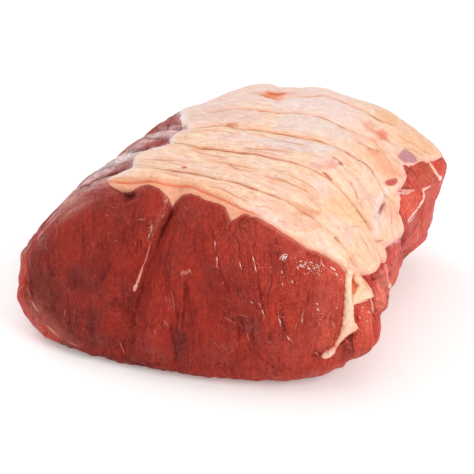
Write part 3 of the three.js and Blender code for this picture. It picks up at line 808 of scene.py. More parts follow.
def paint_spots(P0, col, table, lift=0.0, seed=99):
    centres = cast([(a, b) for a, b, *_ in table], lift)
    for p, (_, _, rx, ry, rgb, k) in zip(centres, table):
        reach_mm = max(rx, ry) * 0.54 * 1.9 + 2
        v = P0 - p
        near = np.where((np.abs(v) < reach_mm * 1.6).all(1))[0]
        if len(near) == 0:
            continue
        v = v[near]
        a = (v @ RIGHT_V) / (rx * 0.54)
        b = (v @ UP_V) / (ry * 0.54)
        c = (v @ BACK) / (max(rx, ry) * 1.6)
        e = (a * a + b * b + c * c) * (1 + 0.45 * noise(P0[near] / 4.0, seed))
        w = np.zeros(len(P0))
        w[near] = k * np.exp(-np.clip(e, 0, 60) ** 1.3 * 0.8)
        col = blend_to(col, c3(*rgb), w)
    return col


def image_of(P):
    d = P - EYE
    z = -(d @ BACK)
    return np.stack([IMAGE / 2 + FOCAL * (d @ RIGHT_V) / z, IMAGE / 2 - FOCAL * (d @ UP_V) / z], -1)


def paint_patches(P0, V, col, table, lift=0.0, seed=130):
    """Facets, stains, painted highlights and painted glow with a clear edge: (outline, edge softness px, sRGB,
    strength).
    """
    for outline, soft, rgb, k in table:
        poly = np.asarray(outline, float)
        centre = cast([poly.mean(0)], lift)[0]
        radius = 0.54 * np.linalg.norm(poly - poly.mean(0), axis=1).max() * 2.2 + 4
        near = np.where((np.abs(P0 - centre) < radius).all(1))[0]
        if len(near) == 0:
            continue
        q = image_of(V[near])
        q = q + 0.45 * np.stack([noise(P0[near] / 1.6, seed), noise(P0[near] / 1.6, seed + 1)], -1)
        q = q + 0.7 * np.stack([noise(P0[near] / 4.0, seed + 3), noise(P0[near] / 4.0, seed + 4)], -1)
        inside = in_polygon(q, poly)
        d = np.full(len(q), 1e9)
        ring = np.concatenate([poly, poly[:1]])
        for a, b in zip(ring[:-1], ring[1:]):
            u = b - a
            t = np.clip(((q - a) @ u) / max(u @ u, 1e-9), 0, 1)
            d = np.minimum(d, np.linalg.norm(q - a - t[:, None] * u, axis=1))
        w = np.zeros(len(P0))
        w[near] = k * sstep(0.5 + np.where(inside, d, -d) / (2 * soft)) * (1 + 0.12 * noise(P0[near] / 1.2, seed + 2))
        w[near] *= sstep((radius - np.abs(P0[near] - centre).max(1)) / (0.35 * radius))
        col = blend_to(col, c3(*rgb), w)
    return col


def humps(P0):
    out = np.zeros(len(P0))
    pts = cast([(a, b) for a, b, _, _ in HUMPS])
    for p, (_, _, hh, rr) in zip(pts, HUMPS):
        out += hh * np.exp(-((P0 - p) ** 2).sum(1) / (rr * rr))
    return out


def outline_humps(P0):
    """Slow swellings that both lean and fat share, where the outer shape needs them."""
    out = np.zeros(len(P0))
    pts = cast([(a, b) for a, b, _, _ in OUTLINE])
    for p, (_, _, hh, rr) in zip(pts, OUTLINE):
        v = P0 - p
        away = v @ BACK
        out += hh * np.exp(-((v ** 2).sum(1) - away ** 2) / (rr * rr) - (away / (18 + 2 * rr)) ** 2)
    return out


def build_lean():
    D, Q = box_grid(310, 190, 165)
    P0 = CORE + D * reach(D, 22)[:, None]
    F, ang, ys = flow(P0)
    push, rs, rk = relief(P0, F, ang, ys)
    sd, kind = fat_side(P0)
    x, y, z = P0.T
    N0 = vertex_normals(P0, Q)
    cut_near = sstep((8 - (y - near_end(x, z))) / 7) * sstep((-y - 30) / 15)
    cut_far = sstep((12 - (far_end(x, z) - y)) / 10) * sstep((y - 35) / 20)
    cut = np.maximum(cut_near, cut_far)
    side = 1 - cut
    on_side = sstep((z - 1) / 10)
    h = np.zeros(len(P0))
    col = np.tile(LEAN_MID, (len(P0), 1))
    cr_d = np.full(len(P0), 9.0)
    cr_m = np.zeros(len(P0))
    dark = np.zeros(len(P0))

    # muscle bundles seen end on: upright furrows between soft humps, with painted shade in the furrows
    W = 0.55 * fbm(P0 / 22.0, 41, 2)
    W2 = 0.5 * fbm(P0 / 7.0, 42, 2)
    h += cut * 0.70 * fbm(np.stack([x / 11.0 + 1.1 * W, z / 24.0, y / 24.0], -1), 7, 2)
    h += cut * 0.38 * fbm(np.stack([x / 4.0 + 1.2 * W + 0.5 * W2, z / 13.0, y / 12.0], -1), 8, 2)
    furrow = noise(np.stack([x / 9.0 + 1.8 * W, z / 36.0 + 0.4 * W, y / 40.0], -1), 9)
    furrow = np.clip(1 - np.abs(furrow) * 3.4, 0, 1) ** 2
    here = sstep((noise(P0 / 15.0, 10) + 0.15) / 0.5)
    h -= cut * 0.55 * furrow * here
    dark += cut * 0.12 * furrow * here
    crossing = noise(np.stack([x / 14.0 + W, z / 8.0 + 1.2 * W, y / 14.0], -1), 11)
    crossing = np.clip(1 - np.abs(crossing) * 4.2, 0, 1) ** 2
    here = sstep((noise(P0 / 12.0, 12) - 0.05) / 0.4)
    h -= cut * 0.4 * crossing * here
    dark += cut * 0.08 * crossing * here
    h += cut * 0.16 * fbm(P0 / 2.6, 13, 2)
    # along the sides the muscle lies in long folds between the rings, with painted shade in the folds
    strands = fbm(np.stack([F[:, 0] / 26.0 + 0.8 * W, F[:, 1] / 3.4 + 0.6 * W, x / 90.0], -1), 14, 3)
    folds = noise(np.stack([F[:, 0] / 34.0, F[:, 1] / 8.0 + 0.7 * W, x / 90.0], -1), 15)
    folds = np.clip(1 - np.abs(folds) * 3.2, 0, 1) ** 2
    here = sstep((noise(P0 / 20.0, 16) + 0.25) / 0.5)
    h += side * on_side * (0.45 * strands - 1.0 * folds * here)
    dark += side * on_side * 0.3 * folds * here
    # muscles divide the sides into lobes
    lobes = noise(np.stack([F[:, 0] / 15.0 + W, F[:, 1] / 30.0, z / 60.0], -1), 17)
    lobes = np.clip(1 - np.abs(lobes) * 3.0, 0, 1) ** 2
    h -= side * on_side * 0.8 * lobes
    h += 0.20 * on_side * fbm(P0 / 3.6, 18, 2)
    # string rings pressed into the sides; the material paints shade along them
    ring_mask = end_fade(P0) * on_side * sstep((-sd - 0.5) / 3) * sstep((np.abs(ang) - 25) / 20) * side
    ring_here = sstep((noise(P0 / 14.0, 19) + 0.45) / 0.5)
    h -= 0.8 * np.exp(-((rs / 1.2) ** 2)) * ring_mask

    press_creases(P0, CREASES, h, cr_d, cr_m, 0.0, 90, 0.55, 0.75, 0.7)
    press_creases(P0, SHOULDER, h, cr_d, cr_m, 0.0, 92, 1.25, 1.2, 0.9)
    # painted crease shade is widened where the side is seen at a slant
    slant = np.clip((N0 @ BACK) / 0.55, 0.22, 1.0)
    cr_d = cr_d * (cut_near + (1 - cut_near) * slant)
    h += humps(P0)

    # ragged foot of the cut end
    foot = np.exp(-((z - 3.0) / 5.0) ** 2)
    h += foot * (1.2 * noise(np.stack([x / 15.0, y / 15.0, np.zeros_like(x)], -1), 21) + 0.35 * noise(P0 / 4.5, 22))

    # colour: slow drifts between dark and bright meat
    drift = fbm(np.stack([x / 20.0, y / 24.0, z / 30.0], -1), 51, 3)
    col = blend_to(col, LEAN_DARK, 0.50 * sstep((drift + 0.05) / 0.8))
    col = blend_to(col, LEAN_BRIGHT, 0.30 * sstep((-drift - 0.1) / 0.7))
    blotch = fbm(np.stack([x / 6.0, z / 10.0, y / 8.0], -1), 52, 3)
    col = col * (1 + 0.11 * blotch)[:, None]
    # the fibres give lilac film and bright orange-red patches
    film = sstep((fbm(P0 / 15.0, 54, 2) - 0.35) / 0.4) * on_side
    col = blend_to(col, c3(152, 66, 62), 0.35 * film * cut)
    warm = sstep((fbm(P0 / 11.0, 55, 2) - 0.3) / 0.4)
    col = blend_to(col, c3(190, 56, 36), 0.2 * warm)
    # right side: bright fresh red
    right_side = sstep((x - 58) / 25) * side
    col = blend_to(col, c3(214, 88, 74), 0.75 * right_side)
    streak = fbm(np.stack([F[:, 0] / 9.0, F[:, 1] / 2.2, x / 40.0], -1), 56, 3)
    col = blend_to(col, c3(236, 130, 114), 0.5 * sstep((streak - 0.1) / 0.5) * side * on_side * sstep((x - 20) / 40))
    # left side: silverskin folded over darker meat
    left_side = sstep((-x - 8) / 25) * side * on_side
    ribs = noise(np.stack([F[:, 0] / 40.0, F[:, 1] / 8.0 + 0.3 * W, x / 90.0], -1), 57)
    skin = sstep((ribs + 0.2) / 0.45) * left_side
    skin = skin * (1 - 0.7 * sstep((76 - z) / 26))
    fine_rib = noise(np.stack([F[:, 0] / 30.0, F[:, 1] / 2.0 + 0.5 * W, x / 90.0], -1), 58)
    col = blend_to(col, c3(176, 84, 78), 0.6 * left_side)
    col = blend_to(col, c3(228, 172, 172), 0.85 * skin * (0.7 + 0.5 * fine_rib))
    col = blend_to(col, c3(244, 212, 216), 0.6 * skin * sstep((fine_rib - 0.1) / 0.4))
    loose = sstep((noise(P0 / 22.0, 59) - 0.05) / 0.4) * side * on_side * sstep((30 - x) / 60)
    col = blend_to(col, c3(186, 106, 100), 0.2 * loose * (1 - left_side))

    col = paint_spots(P0, col, LEAN_SPOTS_AND_PAINTED_LIGHT)
    col = paint_spots(P0, col, SHOULDER_SPOTS_AND_PAINTED_LIGHT, 0.0, 98)
    # painted shade: the cut end grows darker to the left, away from the key light, and also less orange there
    left_shade_and_dulling = cut_near * sstep((62 - x) / 70)
    col = col * (1 - left_shade_and_dulling[:, None] * np.array([0.13, 0.38, 0.50]))
    col = col * (1 - cut_near[:, None] * np.array([0.02, 0.05, 0.09]))
    # painted light: brighter towards the upper right of the cut end
    painted_light_up_right = cut_near * sstep((x + 60) / 80) * sstep((z - 15) / 40)
    col = col * (1 + 0.13 * painted_light_up_right)[:, None]
    # painted shade: darker low on the cut end, near the floor, on its left
    painted_shade_low = cut_near * sstep((9 - z) / 7) * sstep((25 - x) / 30)
    col = col * (1 - painted_shade_low[:, None] * np.array([0.34, 0.20, 0.20]))
    # painted shade: darker again at the far left of the cut end
    painted_shade_far_left = cut_near * sstep((-x - 10) / 60)
    col = col * (1 - painted_shade_far_left[:, None] * np.array([0.10, 0.10, 0.09]))
    # painted shade: darker in the furrows, crossings and folds
    col = col * (1 - 0.6 * np.clip(dark, 0, 1))[:, None]
    # pale rim of membrane where lean meets the fat on the cut end
    rim = np.exp(-(((sd + 0.9) / 0.8) ** 2)) * (kind < 0.6) * sstep((P0[:, 0] - 5) / 25)
    col = blend_to(col, c3(226, 110, 84), 0.7 * rim)
    rim2 = np.exp(-(((sd + 0.6) / 0.7) ** 2)) * (kind < 0.6)
    col = blend_to(col, c3(190, 96, 88), 0.5 * rim2)

    left_edge = np.exp(-((sd + 1.0) / (2.6 + 1.2 * noise(P0 / 5.0, 61))) ** 2) * (kind > 2.4) * (x < 0)
    col = blend_to(col, c3(240, 218, 220), 0.75 * left_edge)
    under = sstep((sd + 0.3) / 3.0)
    h = h * (1 - 0.5 * under) - 4.6 * under
    weight = np.full(len(P0), 0.25)
    weight = np.where((y > 0) & (side > 0.3), 0.55, weight)
    weight = np.where(x < -70, np.maximum(weight, 0.5), weight)
    weight = np.where(cut_near > 0.3, 0.0, weight)
    weight = np.where((x > 60) & (y < 60) & (z > 20), 0.0, weight)
    weight = np.where(cut_far > 0.3, 0.6, weight)
    weight = np.where(sd > 4.5, 1.0, weight)
    weight = np.where((z < 0.6) & (N0[:, 2] < -0.8), 1.0, weight)
    V = P0 + D * push[:, None] + N0 * h[:, None]
    V[:, 2] = np.where((z < 0.9) & (N0[:, 2] < -0.5), np.maximum(V[:, 2] * 0.4, 0.0), V[:, 2])
    V[:, 2] = np.maximum(V[:, 2], 0.0)
    col = col * np.array([1.09, 1.12, 1.11])
    # painted light: paler towards the top of the cut end
    painted_light_top_of_cut = cut_near * sstep((z - 50) / 30)
    col = col * (1 + painted_light_top_of_cut[:, None] * np.array([0.04, 0.27, 0.38]))
    # painted light: paler on the right of the cut end, below its top
    painted_light_right_of_cut = cut_near * sstep((x - 25) / 30) * (1 - painted_light_top_of_cut)
    col = col * (1 + painted_light_right_of_cut[:, None] * np.array([0.03, 0.09, 0.10]))
    col = paint_patches(P0, V, col, LEAN_PATCHES_AND_PAINTED_LIGHT)
    wet = np.clip(0.25 + 0.9 * fbm(P0 / 16.0, 60, 2), 0, 1) * on_side
    wet = np.maximum(wet, sstep((x - 15) / 45) * cut_near * sstep((z - 25) / 25))
    wet *= 1 - 0.5 * left_side
    attrs = {
        "tint": np.clip(col, 0, 1), "flow": F, "cut": cut, "wet": wet,
        "lines": np.stack([cr_d, cr_m, rs], -1), "ring": ring_mask * ring_here,
    }
    ob = make_mesh("lean_meat", V, Q, attrs)
    return thin_out(ob, weight, Q, 194000)


# =====================================================================
# Fat
# =====================================================================
LIP_CREASE = [(108, 182.8), (117, 182.5), (129, 183.3), (136.5, 182.6), (146.7, 181.7), (156, 182.2), (162, 184.0), (172, 184.6),
              (182, 185.1), (191.6, 186.8), (199, 190.4), (207, 194.0), (217, 197.6), (224, 200.6), (236, 207.0), (242, 209.6),
              (250, 212.5), (262, 217.5)]
# (path, depth mm, width mm, darkness, which is painted shade in the crease, partly the fat's own orange-brown tone)
FAT_CREASES = [
    (RING_PX[0][:11], 1.2, 0.9, 0.85), (RING_PX[0][9:], 0.8, 0.9, 0.55), (RING_PX[1][:11], 1.3, 0.9, 0.95), (RING_PX[1][9:], 0.7, 0.8, 0.55),
    (RING_PX[2][:12], 1.5, 0.9, 0.95), (RING_PX[2][10:], 0.9, 0.9, 0.7), (RING_PX[3], 1.1, 0.9, 1.25),
    ([(351, 182), (353.5, 185)], 0.5, 0.7, 0.7), ([(356, 190), (358, 194), (360, 199)], 0.6, 0.7, 0.6), ([(361.5, 203), (363.5, 208)], 0.5, 0.7, 0.5),
    ([(366, 149), (374, 149.5), (382, 152.5)], 0.6, 0.8, 0.5), ([(346, 150.5), (352, 154)], 0.5, 0.7, 1.0),
    (RING_PX[4], 1.1, 0.9, 1.25),
    ([(240, 147), (250, 149), (270, 150), (285, 151), (300, 155)], 0.9, 0.8, 0.6),
    ([(262, 175), (275, 178), (285, 181), (300, 187), (312, 193)], 0.8, 0.8, 0.6),
    ([(226, 164), (236, 169), (246, 171), (252, 172)], 0.9, 0.8, 0.7),
    ([(181, 143), (200, 152), (215, 156), (232, 158)], 0.7, 0.8, 0.5),
    ([(150, 158), (162, 160), (176, 160), (190, 163)], 0.7, 0.8, 0.45),
    ([(331, 157), (338, 160), (344, 165)], 0.9, 0.8, 0.8),
    ([(300, 209), (310, 215), (318, 221), (324, 226)], 0.6, 0.9, 0.4),
    ([(340, 147), (352, 154), (360, 160), (368, 166)], 0.8, 0.8, 0.6),
    ([(355, 140), (366, 146), (376, 150)], 0.8, 0.9, 0.5),
    ([(366, 113), (378, 119), (388, 124), (396, 126)], 0.9, 0.8, 0.8),
    ([(376, 170), (382, 184), (388, 193), (384, 201), (380, 210), (377, 222)], 1.3, 1.2, 0.15),
    ([(384.5, 202), (382.3, 206), (380.2, 210.5), (379, 213.5)], 1.0, 0.6, 0.25),
    ([(390, 200), (392, 215), (391, 228)], 0.7, 0.8, 0.4),
    ([(396, 202), (399, 216), (398, 230)], 0.6, 0.8, 0.35),
    ([(368, 219), (372, 224), (376, 230)], 1.2, 0.9, 0.8),
    ([(326, 227), (334, 234), (341, 242), (343, 247)], 0.5, 0.8, 0.4),
    ([(352, 221), (348, 232), (343, 240)], 0.5, 1.2, 0.1),
    ([(310, 198), (318, 204), (324, 212)], 0.6, 0.8, 0.45),
    ([(205, 186), (220, 189), (234, 196), (250, 203)], 0.8, 0.8, 0.5),
    ([(360, 235), (368, 247), (371, 255)], 0.5, 0.8, 0.4),
    ([(350, 226), (362, 228), (372, 240), (380, 252)], 0.7, 0.9, 0.3),
    ([(381, 243), (386, 241)], 0.7, 0.7, 0.7),
    ([(350, 257), (351, 264), (350, 271)], 0.5, 0.8, 0.35),
    ([(190, 132), (205, 131), (222, 132), (240, 136)], 0.6, 0.8, 0.4),
    ([(255, 134), (275, 139), (295, 143), (315, 148)], 0.6, 0.8, 0.4),
    ([(200, 158), (220, 163), (240, 166), (262, 170)], 0.7, 0.8, 0.5),
    ([(270, 168), (290, 175), (308, 183), (322, 192)], 0.5, 0.8, 0.35),
    ([(325, 160), (340, 172), (352, 184), (362, 200)], 0.4, 0.8, 0.22),
    ([(348, 165), (360, 180), (368, 195), (373, 210)], 0.5, 0.8, 0.3),
    ([(330, 195), (342, 206), (352, 218), (358, 226)], 0.3, 0.8, 0.2),
    ([(140, 172), (160, 172), (180, 176), (200, 181)], 0.6, 0.8, 0.3),
    ([(376, 140), (385, 152), (392, 165), (396, 176)], 0.7, 0.8, 0.35),
    ([(398, 134), (410, 142), (424, 148), (436, 154)], 0.6, 0.8, 0.4),
    ([(403, 146), (414, 150), (426, 156)], 0.5, 0.7, 0.4),
    ([(362, 122), (375, 130), (388, 137), (396, 146)], 0.7, 0.8, 0.5),
]
# broad soft valleys: (path, depth mm, width mm)
HOLLOWS = [
    ([(282, 90), (281, 96), (279, 103), (278, 110)], 1.6, 3.6), ([(278, 112), (274, 119), (271, 127)], 1.1, 3.2),
    ([(262, 93), (272, 95), (282, 94)], 1.6, 2.0), ([(376, 190), (377, 205), (377, 222)], 1.0, 3.0),
    ([(366, 218), (371, 224), (376, 232)], 0.9, 2.4), ([(344, 246), (350, 232), (354, 222)], 0.5, 2.0),
    ([(384, 180), (388, 190), (386, 200)], 0.9, 2.6),
]
# colour over the fat: (x, y, radius across px, radius up px, sRGB, strength)
FAT_SPOTS = [
    (230, 116, 26, 8, (253, 230, 218), 0.6), (200, 122, 16, 7, (253, 226, 212), 0.45), (392, 120, 12, 7, (250, 214, 188), 0.5), (250, 170, 34, 12, (244, 220, 198), 0.35),
    (270, 94.5, 9, 2.2, (214, 96, 52), 0.95), (276, 97, 5, 2.2, (206, 110, 80), 0.8), (232, 125.5, 7, 1.6, (206, 118, 74), 0.8),
    # painted shade in the hollow running down from (282, 90)
    (279, 104, 3, 8, (226, 190, 188), 0.6),
    (322, 168, 7, 2.6, (238, 178, 160), 0.6), (307, 213, 9, 2.4, (228, 128, 100), 0.7), (372, 141, 7, 3.0, (246, 166, 136), 0.6),
    (381, 136, 6, 3.4, (240, 150, 126), 0.75), (376, 154, 8, 5.0, (246, 166, 130), 0.65), (384, 164, 12, 7, (250, 190, 150), 0.6),
    (394, 172, 9, 5, (250, 186, 156), 0.5), (414, 160.5, 5, 2.4, (214, 160, 160), 0.8),
    (386, 183, 5, 2.6, (232, 150, 146), 0.7), (396, 176, 8, 3, (244, 170, 156), 0.6),
    (274, 182, 7, 4, (240, 178, 148), 0.6), (290, 190, 12, 5, (244, 186, 170), 0.45), (315, 196, 6, 3, (242, 182, 168), 0.5),
    (282, 198, 8, 3, (242, 196, 190), 0.4), (262, 201, 8, 3, (242, 196, 190), 0.4), (230, 140, 16, 5, (236, 210, 204), 0.4),
    (275, 143, 20, 4, (228, 214, 212), 0.8), (285, 151, 14, 2.4, (222, 176, 166), 0.6), (300, 150, 12, 3, (226, 200, 196), 0.6),
    (245, 118, 18, 6, (240, 212, 204), 0.6), (300, 104, 26, 6, (244, 224, 218), 0.8), (310, 124, 26, 6, (240, 224, 216), 0.8),
    (250, 99, 18, 4, (240, 210, 200), 0.6), (325, 150, 16, 5, (238, 224, 222), 0.8), (350, 116, 20, 6, (244, 220, 208), 0.6),
    (345, 138, 16, 5, (244, 222, 214), 0.6), (210, 114, 18, 7, (240, 206, 196), 0.7), (184, 117, 5, 5, (242, 226, 222), 0.85),
    (193, 113, 6, 4, (240, 206, 200), 0.6), (388, 118, 9, 5, (250, 202, 162), 0.7), (404, 134, 14, 8, (250, 212, 176), 0.6),
    (420, 148, 12, 6, (248, 204, 166), 0.6), (432, 154, 8, 4, (248, 206, 182), 0.5),
    (376, 225, 4, 12, (236, 214, 214), 0.6), (381.5, 208, 2.6, 5, (190, 116, 108), 0.9), (392, 215, 6, 8, (246, 190, 166), 0.6),
    (345, 205, 16, 10, (250, 208, 170), 0.5), (352, 250, 20, 10, (252, 222, 188), 0.6), (370, 258, 10, 6, (250, 206, 176), 0.6),
    (402, 235, 6, 3, (226, 162, 166), 0.7), (395, 240, 7, 3, (238, 186, 178), 0.6), (384, 244, 4, 3, (238, 170, 160), 0.7),
    (225, 186, 16, 4, (244, 204, 196), 0.4), (358, 268, 10, 4, (248, 214, 186), 0.6), (348, 236, 5, 10, (246, 214, 206), 0.7),
    (150, 160, 14, 5, (246, 214, 188), 0.4), (315, 226, 7, 3, (240, 176, 140), 0.6), (318, 215, 6, 3, (244, 184, 156), 0.5),
    (308, 240, 12, 5, (246, 204, 186), 0.5), (285, 225, 12, 4, (246, 206, 186), 0.5), (365, 205, 8, 8, (246, 206, 186), 0.4),
    (398, 194, 6, 4, (238, 176, 168), 0.7), (404, 178, 4, 5, (240, 178, 168), 0.6), (383, 258, 5, 4, (248, 196, 176), 0.5),
    (340, 104, 16, 3, (246, 214, 196), 0.5), (160, 170, 18, 3, (248, 216, 184), 0.4),
]
FAT_PATCHES = [
    ([(397, 158), (399, 154), (402, 151), (405, 148.5), (408, 150), (411, 152), (414, 155), (416.5, 158), (417, 162.5), (412, 163), (405, 162.5), (400, 160)], 0.8, (192, 138, 148), 0.95),
    ([(386, 182), (389, 179.5), (393, 178), (397, 178.5), (397.5, 182), (394, 185), (389, 186), (386.5, 185)], 0.8, (196, 74, 72), 0.95),
    ([(322, 171), (326, 173), (330, 176), (332.5, 180.5), (331, 181.5), (327, 178), (323, 174.5)], 0.7, (206, 96, 78), 0.95),
    ([(308, 162), (315, 161), (321, 165), (320, 170), (315, 170), (311, 167)], 2.6, (228, 184, 178), 0.7),
    ([(325, 161), (333, 161), (339, 164), (336, 168), (329, 168)], 2.2, (240, 174, 156), 0.75),
    ([(338, 162), (341, 162.5), (344, 165.5), (342.6, 166), (339, 163.8)], 0.6, (166, 104, 70), 0.9),
    ([(181, 167), (184, 165.8), (187, 166.2), (186, 168), (182, 168.2)], 0.6, (206, 84, 78), 0.95),
    ([(262, 91.5), (270, 92), (278, 91.5), (288, 92.3), (296, 92.8), (288, 95), (281, 99), (275, 98), (268, 95.5)], 2.0, (244, 158, 116), 0.75),
    ([(267, 92.6), (274, 93.6), (283, 92.6), (287, 93.6), (281, 95), (275, 96.3), (270, 95)], 0.9, (216, 96, 54), 0.85),
    ([(227, 124.5), (231, 125), (237, 126), (238, 127.4), (232, 127.4), (228, 126.4)], 0.7, (206, 118, 74), 0.85),
    ([(377, 112), (386, 111), (394, 113), (399, 119), (394, 126), (386, 123), (379, 118)], 3.0, (251, 200, 158), 0.75),
    ([(340, 124), (352, 128), (362, 136), (368, 146), (360, 146), (348, 138), (336, 131)], 4.0, (248, 206, 190), 0.6),
    ([(404, 132), (416, 138), (430, 147), (438, 154), (428, 156), (414, 150), (404, 144)], 4.0, (249, 200, 160), 0.6),
    ([(262, 196), (280, 204), (300, 216), (318, 228), (312, 232), (292, 222), (270, 210)], 4.0, (244, 196, 178), 0.5),
    ([(196, 150), (220, 158), (246, 166), (268, 176), (262, 182), (236, 174), (206, 164)], 4.0, (247, 204, 180), 0.45),
    ([(204, 108), (228, 106), (250, 108), (262, 112), (254, 120), (228, 120), (206, 118)], 5.0, (242, 216, 208), 0.6),
    ([(361, 122), (370, 121), (376, 126), (374, 133), (366, 131)], 3.0, (244, 180, 152), 0.75),
    ([(377, 130), (383, 129), (387, 134), (387, 141), (380, 140)], 2.0, (240, 146, 126), 0.85),
    ([(369, 149), (377, 152), (384, 157), (392, 164), (398, 172), (396, 178), (388, 177), (381, 170), (376, 162), (371, 155)], 4.0, (249, 182, 150), 0.75),
    ([(366, 149), (372, 149), (378, 151), (380, 155), (375, 155), (370, 153)], 1.6, (246, 168, 132), 0.7),
    ([(378.6, 215), (379.2, 209.5), (381.4, 205), (385.2, 202), (384.2, 206), (382, 210.5), (380, 214.5)], 0.6, (146, 78, 80), 0.95),
    ([(377.8, 215), (378.2, 210), (379.2, 209), (379.4, 213), (379.6, 216.5), (378.4, 218)], 0.8, (214, 172, 190), 0.8),
    ([(374, 206), (377, 198), (382, 193), (386, 190), (388, 193), (383, 200), (379, 208), (378, 220), (377.6, 236), (375.8, 236), (375.4, 220)], 1.4, (244, 228, 230), 0.7),
    ([(380, 182), (384, 186), (388, 190), (389.6, 194.5), (388, 195), (384, 190)], 0.9, (252, 242, 240), 0.85),
    ([(385, 205), (392, 200), (397, 206), (399, 214), (396, 218), (388, 216), (384, 213)], 2.6, (248, 194, 168), 0.65),
    ([(320, 208), (330, 196), (345, 194), (354, 204), (362, 214), (360, 222), (346, 220), (332, 216)], 4.0, (252, 212, 172), 0.8),
    ([(286, 200), (300, 208), (308, 216), (318, 217), (321, 211), (314, 209), (306, 205), (294, 201)], 1.6, (240, 176, 136), 0.55),
    ([(288, 96), (300, 94), (318, 95), (332, 98), (345, 104), (356, 110), (352, 115), (338, 114), (318, 110), (300, 109), (286, 107)], 5.0, (244, 226, 224), 0.75),
    ([(276, 118), (284, 113), (300, 112), (316, 117), (336, 125), (350, 132), (350, 138), (334, 136), (312, 134), (290, 131), (274, 129)], 5.0, (240, 226, 220), 0.75),
    ([(270, 137), (285, 137), (300, 139), (318, 143), (322, 150), (310, 152), (290, 149), (270, 146)], 3.5, (236, 226, 226), 0.75),
    ([(180, 112), (186, 110), (189, 114), (188, 121), (183, 120), (179, 117)], 1.2, (246, 236, 232), 0.85),
]
FAT_CREAM = c3(253, 226, 200)
FAT_PINK = c3(248, 220, 212)
FAT_PEACH = c3(248, 200, 166)
FAT_CUT = c3(242, 178, 144)
FAT_ORANGE = c3(222, 110, 66)


